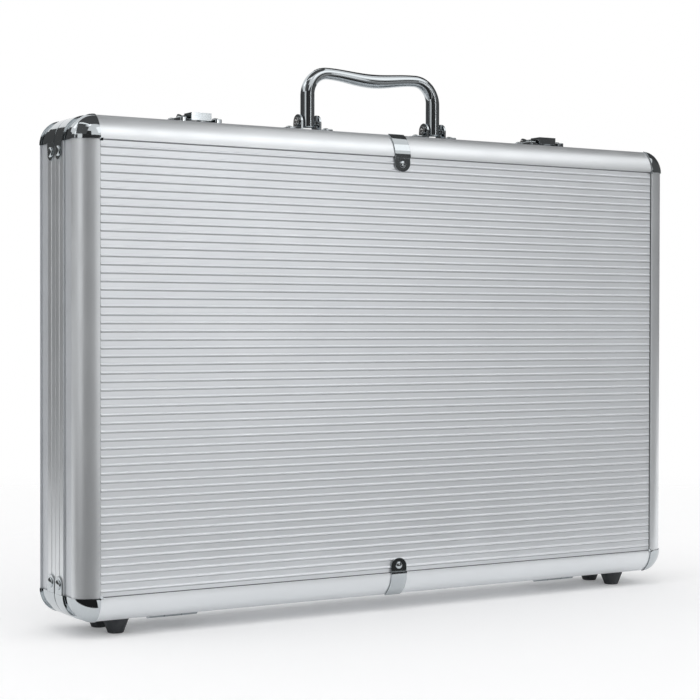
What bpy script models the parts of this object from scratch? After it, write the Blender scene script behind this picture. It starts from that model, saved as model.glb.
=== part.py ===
"""Aluminium poker chip case, closed and standing upright on its four rubber feet.

Two ribbed shells meet at a seam: the base carries the handle, the latches and
the chip racks, and the lid swings down on two hinges under the bottom edge.
Lengths are in metres. X is the width, Y the depth, Z is up. The lid is on the
-Y side. The origin is at floor level, in the middle of the seam.

On each shell a place is given by u, the reach past the edge of the ribbed
panel, and v, the depth from the outer face of the edge trim.
"""
import math

import bmesh
import bpy
from mathutils import Matrix, Vector

# Driving sizes of the case
PANEL_WIDTH = 0.430
PANEL_HEIGHT = 0.273
TRIM_REACH = 0.0150
TRIM_DEPTH = 0.0085
SHELL_DEPTH = 0.0328
FOOT_HEIGHT = 0.0100
FIT_GAP = 0.0003
OVERRUN = 0.0020
CORNER_STEPS = 5

# Ribbed panel
PANEL_THICKNESS = 0.0030
PANEL_TUCK = 0.0020
PANEL_SET_BACK = 0.0012
RIB_PITCH = 0.0050
RIB_WIDTH = 0.0016
RIB_CREST = 0.0006
RIB_HEIGHT = 0.0005
RIB_ROOT = 0.0006

# Edge trim
TRIM_WALL = 0.0012
TRIM_ARC_STEPS = 6
TRIM_LIP = 0.0009
TRIM_JOINT_TOP = -0.0004
TRIM_JOINT_BOTTOM = -0.0026

# Wall boards between the edge trim and the closing profile
BOARD_THICKNESS = 0.0040
BOARD_RECESS = 0.00135

# Closing profile round the mouth of each shell
CLOSER_WIDTH = 0.0116
CLOSER_HEAD = 0.0037
CLOSER_INNER_WALL = 0.00125
CLOSER_INNER_DEPTH = 0.0088
GROOVE_WIDTH = 0.0012
GROOVE_FLOOR_WIDTH = 0.0007
GROOVE_DEPTH = 0.0005
TONGUE_WIDTH = 0.0014
TONGUE_HEIGHT = 0.0020
TONGUE_INSET = 0.0026

# Corner caps
CAP_WALL = 0.0005
CAP_ARC_STEPS = 6
TAB_LENGTH = 0.0110
TAB_WIDTH = 0.0102
TAB_STEPS = 4

# Clips over the joints of the edge trim
CLIP_WIDTH = 0.0122
CLIP_WALL = 0.0005
CLIP_TONGUE = 0.0097
CLIP_ROUND_SHARE = 0.46
CLIP_ROUND_STEPS = 4

# Rubber feet
FOOT_TOP_RADIUS = 0.0085
FOOT_TOE_RADIUS = 0.0051
FOOT_EDGE = 0.0006
FOOT_INSET = 0.0190
FOOT_SIDES = 20

# Chip racks, accessory tray and lid pad
CHIP_DIAMETER = 0.0400
CHIP_PLAY = 0.0004
CHIP_ROWS = 5
ROW_PITCH = 0.0416
ROW_LENGTH = 0.1680
RACK_END_WALL = 0.0040
RACK_FLOOR = 0.0015
LINING_SET_BACK = 0.0060
TROUGH_SIDES = 24
CARD_WELL = (0.0940, 0.0680)
CARD_WELL_DEPTH = 0.0180
CARD_WELL_X = 0.1560
DICE_WELL = (0.0900, 0.0200)
DICE_WELL_DEPTH = 0.0165
DICE_WELL_X = 0.0450
BUTTON_WELL_RADIUS = 0.0275
BUTTON_WELL_DEPTH = 0.0100
BUTTON_WELL_X = -0.0500
BUTTON_WELL_SIDES = 28
LID_PAD_THICKNESS = 0.0050

# Hinges under the bottom edge
HINGE_INSET = 0.0630
HINGE_LENGTH = 0.0340
HINGE_DROP = 0.0031
KNUCKLE_RADIUS = 0.0025
HINGE_PIN_RADIUS = 0.0012
LEAF_THICKNESS = 0.0010
LEAF_MARGIN = 0.0006
MIDDLE_KNUCKLE = 0.0118
WEB_INSET = 0.0006
HINGE_SIDES = 16

# Handle
HANDLE_SPAN = 0.1000
HANDLE_ROD_RADIUS = 0.0048
HANDLE_NECK_RADIUS = 0.0039
HANDLE_GRIP_RADIUS = 0.0047
ROD_SIDES = 14
HANDLE_PIVOT_HEIGHT = 0.0080
HANDLE_RISE = 0.0335
HANDLE_SAG = 0.0026
HANDLE_BEND = 0.0150
HANDLE_BEND_STEPS = 5
HANDLE_GRIP_STEPS = 8
HANDLE_FOOT = 0.0037
HANDLE_PIN_RADIUS = 0.0018
BRACKET_LENGTH = 0.0350
BRACKET_WIDTH = 0.0106
BRACKET_WALL = 0.0014
BRACKET_CORNER = 0.0030
BRACKET_EAR_GAP = 0.0015
BRACKET_ROUND_STEPS = 4
PIN_HEAD_RADIUS = 0.0030
PIN_HEAD_THICKNESS = 0.0010
PIN_SIDES = 16

# Draw latches
LATCH_INSET = 0.0780
LATCH_PLATE_LENGTH = 0.0300
LATCH_PLATE_WALL = 0.0010
LATCH_PLATE_CORNER = 0.0020
LATCH_PIVOT_OUT = 0.0038
LATCH_PIVOT_HEIGHT = 0.0041
LATCH_EAR_RADIUS = 0.0028
LATCH_EAR_WALL = 0.0010
LATCH_PIN_RADIUS = 0.0011
LEVER_HALF_WIDTH = 0.0056
LEVER_WALL = 0.0010
LEVER_EYE_RADIUS = 0.0022
HOOK_PIVOT_OUT = 0.0108
HOOK_PIVOT_HEIGHT = 0.0062
HOOK_PIN_RADIUS = 0.0009
HOOK_EYE_RADIUS = 0.0020
HOOK_HALF_WIDTH = 0.0042
HOOK_WALL = 0.0012
CLAW_REACH = 0.0114
CLAW_HALF_WIDTH = 0.0070
CLAW_START = 0.0010
CLAW_STEP = 0.0002
CLAW_LIP = 0.0014
CLAW_LIP_WALL = 0.0009
PADDLE_START = 0.0143
PADDLE_END = 0.0225
PADDLE_HALF_WIDTH = 0.0095
PADDLE_TIP_HEIGHT = 0.0030
PADDLE_ROUND = 0.0035
NOSE_HEIGHT = 0.0009
NOSE_WIDTH = 0.0012
NOSE_LENGTH = 0.0100
NOSE_GAP = 0.0003
CLAW_CLEARANCE = 0.0004
EYE_STEPS = 8

# Places that follow from the sizes above
SEAM_HALF_GAP = FIT_GAP / 2
HALF_W = PANEL_WIDTH / 2
HALF_H = PANEL_HEIGHT / 2
CENTRE_Z = FOOT_HEIGHT + TRIM_REACH + HALF_H
BOTTOM_Z = FOOT_HEIGHT
TOP_Z = CENTRE_Z + HALF_H + TRIM_REACH
TRIM_RADIUS = (TRIM_REACH ** 2 + TRIM_DEPTH ** 2) / (2 * TRIM_DEPTH)
TRIM_SWEEP = math.asin(TRIM_REACH / TRIM_RADIUS)
PANEL_BACK = PANEL_SET_BACK + PANEL_THICKNESS
BOARD_OUTER = TRIM_REACH - BOARD_RECESS
BOARD_INNER = BOARD_OUTER - BOARD_THICKNESS
CLOSER_START = SHELL_DEPTH - CLOSER_WIDTH
CLOSER_INNER = BOARD_INNER - FIT_GAP - CLOSER_INNER_WALL
LINING_REACH = CLOSER_INNER - FIT_GAP
LINING_HALF_W = HALF_W + LINING_REACH
LINING_HALF_H = HALF_H + LINING_REACH
CLOSER_MIDDLE = SEAM_HALF_GAP + CLOSER_WIDTH / 2
FOOT_X = HALF_W - FOOT_INSET
HINGE_X = HALF_W - HINGE_INSET
LATCH_X = HALF_W - LATCH_INSET
FOOT_Y = SEAM_HALF_GAP + (SHELL_DEPTH - TRIM_DEPTH) / 2
HINGE_Z = BOTTOM_Z - HINGE_DROP
HANDLE_PIVOT_Z = TOP_Z + HANDLE_PIVOT_HEIGHT
TROUGH_RADIUS = CHIP_DIAMETER / 2 + CHIP_PLAY
RACK_HEIGHT = RACK_FLOOR + TROUGH_RADIUS

BASE = 1
LID = -1
SHELLS = (("base", BASE), ("lid", LID))
SIDES = (("left", -1), ("right", 1))
ENDS = (("bottom", -1), ("top", 1))

FINISHES = {
    "satin_aluminium": ((0.78, 0.79, 0.80, 1.0), 0.34, 1.0),
    "ribbed_aluminium": ((0.80, 0.81, 0.83, 1.0), 0.42, 1.0),
    "chrome": ((0.62, 0.64, 0.65, 1.0), 0.08, 1.0),
    "steel_pin": ((0.50, 0.51, 0.52, 1.0), 0.25, 1.0),
    "board_grey": ((0.55, 0.56, 0.57, 1.0), 0.45, 0.6),
    "rubber": ((0.05, 0.055, 0.06, 1.0), 0.75, 0.0),
    "black_flock": ((0.02, 0.02, 0.022, 1.0), 0.95, 0.0),
    "black_foam": ((0.03, 0.03, 0.032, 1.0), 0.9, 0.0),
}


def clear_scene():
    """Remove whatever the scene holds."""
    for item in list(bpy.data.objects):
        bpy.data.objects.remove(item, do_unlink=True)


def finish(name):
    """Return the named material, made the first time it is asked for."""
    known = bpy.data.materials.get(name)
    if known:
        return known
    colour, roughness, metallic = FINISHES[name]
    material = bpy.data.materials.new(name)
    material.use_nodes = True
    shader = material.node_tree.nodes["Principled BSDF"]
    shader.inputs["Base Color"].default_value = colour
    shader.inputs["Roughness"].default_value = roughness
    shader.inputs["Metallic"].default_value = metallic
    return material


def pivot(name, location, parent=None):
    """Make an empty on a joint's axis, for the moving pieces to hang on."""
    empty = bpy.data.objects.new(name, None)
    empty.location = location
    bpy.context.scene.collection.objects.link(empty)
    return hang(empty, parent)


def hang(item, parent):
    """Parent a piece that is placed in the world to a pivot, without moving it."""
    if parent is not None:
        item.parent = parent
        item.matrix_parent_inverse = Matrix.Translation(-Vector(parent.location))
    return item


def add_object(name, bm, material, parent=None, smooth=False):
    """Close up a bmesh, turn its faces outwards and put it in the scene."""
    bmesh.ops.remove_doubles(bm, verts=bm.verts, dist=FIT_GAP / 100)
    bmesh.ops.recalc_face_normals(bm, faces=bm.faces)
    mesh = bpy.data.meshes.new(name)
    bm.to_mesh(mesh)
    bm.free()
    mesh.materials.append(finish(material))
    if smooth:
        mesh.shade_smooth()
        mesh.set_sharp_from_angle(angle=math.radians(35))
    item = bpy.data.objects.new(name, mesh)
    bpy.context.scene.collection.objects.link(item)
    return hang(item, parent)


def combine(item, bm, operation, label):
    """Unite a piece with, or cut it by, the shapes in a bmesh."""
    operand = add_object(item.name + "_" + label, bm, "steel_pin")
    operand.hide_render = True
    operand.display_type = "WIRE"
    modifier = item.modifiers.new(label, "BOOLEAN")
    modifier.operation = operation
    modifier.solver = "EXACT"
    modifier.object = operand
    return item


def new_faces_verts(result):
    """Return the vertices among what an extrude made."""
    return [part for part in result["geom"] if isinstance(part, bmesh.types.BMVert)]


def add_prism(bm, outline, shift):
    """Extrude a flat outline of 3-D points by a vector into a closed block."""
    face = bm.faces.new([bm.verts.new(point) for point in outline])
    grown = bmesh.ops.extrude_face_region(bm, geom=[face], use_keep_orig=True)
    bmesh.ops.translate(bm, verts=new_faces_verts(grown), vec=shift)


def add_block(bm, low, high):
    """Add a box between two opposite corners, given in any order."""
    low, high = Vector(low), Vector(high)
    size = [abs(length) for length in high - low]
    place = Matrix.Translation((low + high) / 2) @ Matrix.Diagonal((*size, 1))
    bmesh.ops.create_cube(bm, size=1, matrix=place)


def add_rod(bm, centre, radius, length, axis, sides, end_radius=None):
    """Add a round rod, or a taper, centred on a point along X, Y or Z."""
    turn = {
        "X": Matrix.Rotation(math.radians(90), 4, "Y"),
        "Y": Matrix.Rotation(math.radians(-90), 4, "X"),
        "Z": Matrix.Identity(4),
    }[axis]
    bmesh.ops.create_cone(
        bm, cap_ends=True, segments=sides, radius1=radius,
        radius2=radius if end_radius is None else end_radius,
        depth=length, matrix=Matrix.Translation(centre) @ turn)


def arc(centre, radius, start, sweep, steps):
    """Return the points of an arc in a plane, from a start angle on."""
    points = []
    for step in range(steps + 1):
        angle = start + sweep * step / steps
        points.append((centre[0] + radius * math.cos(angle), centre[1] + radius * math.sin(angle)))
    return points


def rounded_rectangle(half_x, half_z, radius, steps):
    """Return the outline of a rectangle with round corners."""
    points = []
    for quarter, (sx, sz) in enumerate(((1, 1), (-1, 1), (-1, -1), (1, -1))):
        centre = (sx * (half_x - radius), sz * (half_z - radius))
        points += arc(centre, radius, quarter * math.pi / 2, math.pi / 2, steps)
    return points


def depth_y(side, v):
    """Return the Y of a depth v below the outer face of a shell."""
    return side * (SEAM_HALF_GAP + SHELL_DEPTH - v)


def slide(dx, dz):
    """Return one straight step of a section's run."""
    return Matrix.Translation((dx, 0, dz)), 1


def turn(sx, sz, angle):
    """Return the steps of a section's run round a corner of the panel."""
    centre = Vector((sx * HALF_W, 0, CENTRE_Z + sz * HALF_H))
    spin = Matrix.Rotation(angle / CORNER_STEPS, 4, "Y")
    return Matrix.Translation(centre) @ spin @ Matrix.Translation(-centre), CORNER_STEPS


def run_section(section, side, start_x, moves, closed):
    """Run a section of u and v points round a shell, from its top edge.

    A closed run comes back to its start. An open run gets a face at each end.
    """
    bm = bmesh.new()
    base_z = CENTRE_Z + HALF_H
    ring = [bm.verts.new((start_x, depth_y(side, v), base_z + u)) for u, v in section]
    edges = [bm.edges.new((ring[i - 1], ring[i])) for i in range(len(ring))]
    if not closed:
        bm.faces.new(ring)
    for matrix, steps in moves:
        for _ in range(steps):
            grown = bmesh.ops.extrude_edge_only(bm, edges=edges)
            verts = new_faces_verts(grown)
            fresh = set(verts)
            edges = [part for part in grown["geom"] if isinstance(part, bmesh.types.BMEdge)
                     and part.verts[0] in fresh and part.verts[1] in fresh]
            bmesh.ops.transform(bm, matrix=matrix, verts=verts)
    if not closed:
        bmesh.ops.contextual_create(bm, geom=edges)
    return bm


def trim_arc(radius, steps):
    """Return u and v points of the trim's curve at a radius, panel side first."""
    points = []
    for step in range(steps + 1):
        angle = TRIM_SWEEP * step / steps
        points.append((radius * math.sin(angle), TRIM_RADIUS - radius * math.cos(angle)))
    return points


def trim_section():
    """Return the hollow section of the curved edge trim."""
    slot_floor = PANEL_TUCK + FIT_GAP
    slot_wall = slot_floor + TRIM_WALL
    flange = PANEL_BACK + FIT_GAP
    inner_radius = TRIM_RADIUS - TRIM_WALL
    web = TRIM_DEPTH - TRIM_WALL
    inner = [(u, v) for u, v in trim_arc(inner_radius, TRIM_ARC_STEPS) if u > slot_wall and v < web]
    meet_u = math.sqrt(inner_radius ** 2 - (TRIM_RADIUS - web) ** 2)
    wall_v = TRIM_RADIUS - math.sqrt(inner_radius ** 2 - slot_wall ** 2)
    section = trim_arc(TRIM_RADIUS, TRIM_ARC_STEPS)
    section += [(BOARD_INNER, TRIM_DEPTH), (BOARD_INNER, web), (meet_u, web)]
    section += reversed(inner)
    section += [(slot_wall, wall_v), (slot_wall, flange + TRIM_WALL), (0, flange + TRIM_WALL)]
    section += [(0, flange), (slot_floor, flange), (slot_floor, TRIM_LIP), (0, TRIM_LIP)]
    return section


def closer_section(side):
    """Return the section of the closing profile: tongue on the base, groove on the lid."""
    middle = SHELL_DEPTH - CLOSER_WIDTH / 2
    head = SHELL_DEPTH - CLOSER_HEAD
    slot_outer = BOARD_OUTER + FIT_GAP
    slot_inner = BOARD_INNER - FIT_GAP
    key_outer = TRIM_REACH - TONGUE_INSET
    key_inner = key_outer - TONGUE_WIDTH
    key_tip = SHELL_DEPTH + TONGUE_HEIGHT
    if side == LID:
        key_outer += FIT_GAP
        key_inner -= FIT_GAP
        key_tip = SHELL_DEPTH - TONGUE_HEIGHT - FIT_GAP
    return [
        (TRIM_REACH, CLOSER_START),
        (TRIM_REACH, middle - GROOVE_WIDTH / 2),
        (TRIM_REACH - GROOVE_DEPTH, middle - GROOVE_FLOOR_WIDTH / 2),
        (TRIM_REACH - GROOVE_DEPTH, middle + GROOVE_FLOOR_WIDTH / 2),
        (TRIM_REACH, middle + GROOVE_WIDTH / 2),
        (TRIM_REACH, SHELL_DEPTH),
        (key_outer, SHELL_DEPTH),
        (key_outer, key_tip),
        (key_inner, key_tip),
        (key_inner, SHELL_DEPTH),
        (CLOSER_INNER, SHELL_DEPTH),
        (CLOSER_INNER, SHELL_DEPTH - CLOSER_INNER_DEPTH),
        (slot_inner, SHELL_DEPTH - CLOSER_INNER_DEPTH),
        (slot_inner, head),
        (slot_outer, head),
        (slot_outer, CLOSER_START),
    ]


def build_panel(shell, side, parent):
    """Build the ribbed face panel with its tucked-in edge."""
    bm = bmesh.new()
    front = depth_y(side, PANEL_SET_BACK)
    outline = rounded_rectangle(HALF_W + PANEL_TUCK, HALF_H + PANEL_TUCK, PANEL_TUCK, CORNER_STEPS)
    add_prism(bm, [(x, front, CENTRE_Z + z) for x, z in outline], (0, -side * PANEL_THICKNESS, 0))
    panel = add_object(f"{shell}_panel", bm, "ribbed_aluminium", parent)

    ribs = int((PANEL_HEIGHT - RIB_PITCH) / RIB_PITCH) + 1
    half_run = HALF_W - FIT_GAP
    root = depth_y(side, PANEL_SET_BACK + RIB_ROOT)
    crest = depth_y(side, PANEL_SET_BACK - RIB_HEIGHT)
    bm = bmesh.new()
    for row in range(ribs):
        z = CENTRE_Z + (row - (ribs - 1) / 2) * RIB_PITCH
        half_foot = RIB_WIDTH / 2 + RIB_ROOT * (RIB_WIDTH - RIB_CREST) / (2 * RIB_HEIGHT)
        rib = [(root, z - half_foot), (crest, z - RIB_CREST / 2)]
        rib += [(crest, z + RIB_CREST / 2), (root, z + half_foot)]
        add_prism(bm, [(-half_run, y, rib_z) for y, rib_z in rib], (2 * half_run, 0, 0))
    combine(panel, bm, "UNION", "ribs")


def build_boards(shell, side, parent):
    """Build the four straight wall boards, which the corner caps join."""
    near = depth_y(side, TRIM_DEPTH + FIT_GAP)
    far = depth_y(side, SHELL_DEPTH - CLOSER_HEAD - FIT_GAP)
    for end, sign in ENDS:
        bm = bmesh.new()
        inner = CENTRE_Z + sign * (HALF_H + BOARD_INNER)
        outer = CENTRE_Z + sign * (HALF_H + BOARD_OUTER)
        add_block(bm, (-HALF_W, near, inner), (HALF_W, far, outer))
        add_object(f"{shell}_board_{end}", bm, "board_grey", parent)
    for hand, sign in SIDES:
        bm = bmesh.new()
        inner = sign * (HALF_W + BOARD_INNER)
        outer = sign * (HALF_W + BOARD_OUTER)
        add_block(bm, (inner, near, CENTRE_Z - HALF_H), (outer, far, CENTRE_Z + HALF_H))
        add_object(f"{shell}_board_{hand}", bm, "board_grey", parent)


def build_trims(shell, side, parent):
    """Build the two bent halves of the curved edge trim, which meet under the clips."""
    for hand, sign in SIDES:
        top_start = TRIM_JOINT_TOP + sign * SEAM_HALF_GAP
        bottom_end = TRIM_JOINT_BOTTOM + sign * SEAM_HALF_GAP
        moves = [
            slide(sign * HALF_W - top_start, 0),
            turn(sign, 1, sign * math.pi / 2),
            slide(0, -PANEL_HEIGHT),
            turn(sign, -1, sign * math.pi / 2),
            slide(bottom_end - sign * HALF_W, 0),
        ]
        bm = run_section(trim_section(), side, top_start, moves, closed=False)
        add_object(f"{shell}_trim_{hand}", bm, "satin_aluminium", parent, smooth=True)


def build_closer(shell, side, parent):
    """Build the closing profile that frames the mouth of a shell."""
    moves = [
        slide(-PANEL_WIDTH, 0),
        turn(-1, 1, -math.pi / 2),
        slide(0, -PANEL_HEIGHT),
        turn(-1, -1, -math.pi / 2),
        slide(PANEL_WIDTH, 0),
        turn(1, -1, -math.pi / 2),
        slide(0, PANEL_HEIGHT),
        turn(1, 1, -math.pi / 2),
    ]
    bm = run_section(closer_section(side), side, HALF_W, moves, closed=True)
    add_object(f"{shell}_closing_profile", bm, "satin_aluminium", parent, smooth=True)


def cap_section():
    """Return the sheet section of a corner cap, over trim, wall and closing profile."""
    def skin(lift):
        curve = trim_arc(TRIM_RADIUS + lift, CAP_ARC_STEPS)
        reach = curve[-1][0]
        wall = BOARD_OUTER + lift
        step_down = TRIM_DEPTH + lift
        step_up = CLOSER_START - lift
        tail = SHELL_DEPTH - FIT_GAP
        return curve[:-1] + [(reach, step_down), (wall, step_down), (wall, step_up),
                             (TRIM_REACH + lift, step_up), (TRIM_REACH + lift, tail)]
    return skin(FIT_GAP + CAP_WALL) + list(reversed(skin(FIT_GAP)))


def tab_outline(length):
    """Return the outline of a cap's rivet tab: a strip with a round end."""
    half = TAB_WIDTH / 2
    root = -TRIM_REACH / 2
    end = arc((length - half, 0), half, -math.pi / 2, math.pi, 2 * TAB_STEPS)
    return [(root, half), (root, -half)] + end


def build_caps(shell, side, parent):
    """Build the four corner caps with their two rivet tabs each."""
    middle = (depth_y(side, CLOSER_START) + depth_y(side, SHELL_DEPTH)) / 2
    low = TRIM_REACH + FIT_GAP
    for end, sz in ENDS:
        for hand, sx in SIDES:
            bm = bmesh.new()
            corner = Vector((sx * HALF_W, 0, CENTRE_Z + sz * HALF_H))
            ring = [bm.verts.new((corner.x, depth_y(side, v), corner.z + sz * u)) for u, v in cap_section()]
            face = bm.faces.new(ring)
            angle = sx * sz * math.pi / 2
            bmesh.ops.spin(bm, geom=[face, *face.edges, *face.verts], cent=corner, axis=(0, 1, 0),
                           angle=angle, steps=CORNER_STEPS + 1, use_merge=False)
            cap = add_object(f"{shell}_corner_{end}_{hand}", bm, "chrome", parent, smooth=True)
            tabs = bmesh.new()
            flat = [(along, middle + across) for along, across in tab_outline(TAB_LENGTH)]
            across_top = [(corner.x - sx * a, y, corner.z + sz * low) for a, y in flat]
            add_prism(tabs, across_top, (0, 0, sz * CAP_WALL))
            combine(cap, tabs, "UNION", "top_tab")
            tabs = bmesh.new()
            down_side = [(corner.x + sx * low, y, corner.z - sz * a) for a, y in flat]
            add_prism(tabs, down_side, (sx * CAP_WALL, 0, 0))
            combine(cap, tabs, "UNION", "side_tab")


def build_clips(shell, side, parent):
    """Build the clips that cover the joints of the edge trim."""
    for (end, sz), joint in zip(ENDS, (TRIM_JOINT_BOTTOM, TRIM_JOINT_TOP)):
        tongue_v = PANEL_SET_BACK - RIB_HEIGHT - FIT_GAP

        def skin(lift):
            curve = trim_arc(TRIM_RADIUS + lift, TRIM_ARC_STEPS)
            step = -FIT_GAP - lift
            return [(-CLIP_TONGUE, tongue_v - lift + FIT_GAP), (step, tongue_v - lift + FIT_GAP),
                    (step, -lift)] + curve[1:]
        section = skin(FIT_GAP + CLIP_WALL) + list(reversed(skin(FIT_GAP)))
        low_x = joint - CLIP_WIDTH / 2
        outline = [(low_x, depth_y(side, v), CENTRE_Z + sz * (HALF_H + u)) for u, v in section]
        bm = bmesh.new()
        add_prism(bm, outline, (CLIP_WIDTH, 0, 0))
        bmesh.ops.recalc_face_normals(bm, faces=bm.faces)
        tip_z = CENTRE_Z + sz * (HALF_H - CLIP_TONGUE)
        ends = [edge for edge in bm.edges
                if all(abs(v.co.z - tip_z) < FIT_GAP / 2 for v in edge.verts)
                and abs(edge.verts[0].co.x - edge.verts[1].co.x) < FIT_GAP / 2]
        bmesh.ops.bevel(bm, geom=ends, offset=CLIP_WIDTH * CLIP_ROUND_SHARE, segments=CLIP_ROUND_STEPS,
                        profile=0.5, affect="EDGES", material=-1, clamp_overlap=False)
        add_object(f"{shell}_clip_{end}", bm, "chrome", parent, smooth=True)


def build_feet(shell, side, parent):
    """Build the tapered rubber feet, which sit astride the closing profile's step."""
    for hand, sx in SIDES:
        seat = BOTTOM_Z - FIT_GAP
        crown = BOTTOM_Z + BOARD_RECESS - FIT_GAP
        centre = Vector((sx * FOOT_X, side * FOOT_Y, 0))
        bm = bmesh.new()
        middle = centre + Vector((0, 0, seat / 2))
        add_rod(bm, middle, FOOT_TOE_RADIUS, seat, "Z", FOOT_SIDES, FOOT_TOP_RADIUS)
        toe = [edge for edge in bm.edges if all(v.co.z < FOOT_EDGE for v in edge.verts)]
        bmesh.ops.bevel(bm, geom=toe, offset=FOOT_EDGE, segments=2, profile=0.5, affect="EDGES",
                        material=-1)
        top = [face for face in bm.faces if all(v.co.z > seat - FOOT_EDGE for v in face.verts)]
        grown = bmesh.ops.extrude_face_region(bm, geom=top)
        bmesh.ops.translate(bm, verts=new_faces_verts(grown), vec=(0, 0, crown - seat))
        bmesh.ops.delete(bm, geom=top, context="FACES")
        foot = add_object(f"{shell}_foot_{hand}", bm, "rubber", parent, smooth=True)
        step_y = side * (SEAM_HALF_GAP + CLOSER_WIDTH + FIT_GAP)
        inner_y = side * (FOOT_Y - FOOT_TOP_RADIUS - OVERRUN)
        cutter = bmesh.new()
        reach = FOOT_TOP_RADIUS + OVERRUN
        add_block(cutter, (centre.x - reach, step_y, seat), (centre.x + reach, inner_y, crown + OVERRUN))
        combine(foot, cutter, "DIFFERENCE", "step")


def build_racks():
    """Build the two chip racks of five rows each and the accessory tray."""
    back = depth_y(BASE, LINING_SET_BACK)
    front = back - RACK_HEIGHT
    rack_height = ROW_LENGTH + 2 * RACK_END_WALL
    top = CENTRE_Z + LINING_HALF_H
    bottom = top - rack_height
    row_z = (top + bottom) / 2
    for hand, sx in SIDES:
        inner_x = sx * SEAM_HALF_GAP
        outer_x = sx * LINING_HALF_W
        bm = bmesh.new()
        add_block(bm, (inner_x, front, bottom), (outer_x, back, top))
        round_upright_edges(bm, outer_x, top)
        rack = add_object(f"chip_rack_{hand}", bm, "black_flock")
        cutter = bmesh.new()
        middle = (inner_x + outer_x) / 2
        for row in range(CHIP_ROWS):
            x = middle + (row - (CHIP_ROWS - 1) / 2) * ROW_PITCH
            add_rod(cutter, (x, front, row_z), TROUGH_RADIUS, ROW_LENGTH, "Z", TROUGH_SIDES)
        combine(rack, cutter, "DIFFERENCE", "rows")

    tray_top = bottom - FIT_GAP
    tray_bottom = CENTRE_Z - LINING_HALF_H
    tray_z = (tray_top + tray_bottom) / 2
    bm = bmesh.new()
    add_block(bm, (-LINING_HALF_W, front, tray_bottom), (LINING_HALF_W, back, tray_top))
    for sx in (-1, 1):
        round_upright_edges(bm, sx * LINING_HALF_W, tray_bottom)
    tray = add_object("accessory_tray", bm, "black_flock")
    cutter = bmesh.new()
    mouth = front - OVERRUN
    for sx in (-1, 1):
        add_well(cutter, sx * CARD_WELL_X, tray_z, CARD_WELL, mouth, front + CARD_WELL_DEPTH)
    add_well(cutter, DICE_WELL_X, tray_z, DICE_WELL, mouth, front + DICE_WELL_DEPTH)
    depth = BUTTON_WELL_DEPTH + OVERRUN
    add_rod(cutter, (BUTTON_WELL_X, mouth + depth / 2, tray_z), BUTTON_WELL_RADIUS, depth, "Y",
            BUTTON_WELL_SIDES)
    combine(tray, cutter, "DIFFERENCE", "wells")


def round_upright_edges(bm, x, z):
    """Round the block's edge along Y at a place, to clear the corner of the case."""
    edges = [edge for edge in bm.edges
             if all(abs(v.co.x - x) < FIT_GAP and abs(v.co.z - z) < FIT_GAP for v in edge.verts)]
    bmesh.ops.bevel(bm, geom=edges, offset=LINING_REACH, segments=CORNER_STEPS, profile=0.5,
                    affect="EDGES", material=-1)


def add_well(bm, x, z, size, mouth, floor):
    """Add the cutter of a rectangular well, from its mouth to its floor."""
    half_x, half_z = size[0] / 2, size[1] / 2
    add_block(bm, (x - half_x, mouth, z - half_z), (x + half_x, floor, z + half_z))


def build_lid_pad(parent):
    """Build the foam pad that lines the lid and holds the chips in their rows."""
    bm = bmesh.new()
    outline = rounded_rectangle(LINING_HALF_W, LINING_HALF_H, LINING_REACH, CORNER_STEPS)
    near = depth_y(LID, LINING_SET_BACK)
    add_prism(bm, [(x, near, CENTRE_Z + z) for x, z in outline], (0, LID_PAD_THICKNESS, 0))
    add_object("lid_pad", bm, "black_foam", parent, smooth=True)


def add_knuckles(bm, x, spans):
    """Add the hinge barrels over the given spans along X."""
    for low, high in spans:
        add_rod(bm, (x + (low + high) / 2, 0, HINGE_Z), KNUCKLE_RADIUS, high - low, "X", HINGE_SIDES)


def build_hinges(lid_pivot):
    """Build the two butt hinges under the seam: two leaves and a pin each."""
    half = HINGE_LENGTH / 2
    middle = MIDDLE_KNUCKLE / 2
    knuckle_spans = {
        "base": ((-half, -middle - FIT_GAP), (middle + FIT_GAP, half)),
        "lid": ((-middle, middle),),
    }
    leaf_top = BOTTOM_Z - FIT_GAP
    leaf_bottom = leaf_top - LEAF_THICKNESS
    leaf_start = KNUCKLE_RADIUS + FIT_GAP
    leaf_end = SEAM_HALF_GAP + CLOSER_WIDTH - LEAF_MARGIN
    for hand, sx in SIDES:
        x = sx * HINGE_X
        for shell, side in SHELLS:
            parent = lid_pivot if side == LID else None
            bm = bmesh.new()
            add_block(bm, (x - half, side * leaf_start, leaf_bottom), (x + half, side * leaf_end, leaf_top))
            leaf = add_object(f"hinge_{hand}_{shell}_leaf", bm, "chrome", parent)
            webs = bmesh.new()
            web_end = side * (leaf_start + LEAF_THICKNESS)
            for low, high in knuckle_spans[shell]:
                add_block(webs, (x + low, side * WEB_INSET, leaf_bottom), (x + high, web_end, leaf_top))
            combine(leaf, webs, "UNION", "webs")
            knuckles = bmesh.new()
            add_knuckles(knuckles, x, knuckle_spans[shell])
            combine(leaf, knuckles, "UNION", "knuckles")
            bore = bmesh.new()
            bore_radius = HINGE_PIN_RADIUS + FIT_GAP
            add_rod(bore, (x, 0, HINGE_Z), bore_radius, HINGE_LENGTH + OVERRUN, "X", HINGE_SIDES)
            combine(leaf, bore, "DIFFERENCE", "bore")
        bm = bmesh.new()
        add_rod(bm, (x, 0, HINGE_Z), HINGE_PIN_RADIUS, HINGE_LENGTH, "X", HINGE_SIDES)
        add_object(f"hinge_{hand}_pin", bm, "steel_pin", smooth=True)


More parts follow.
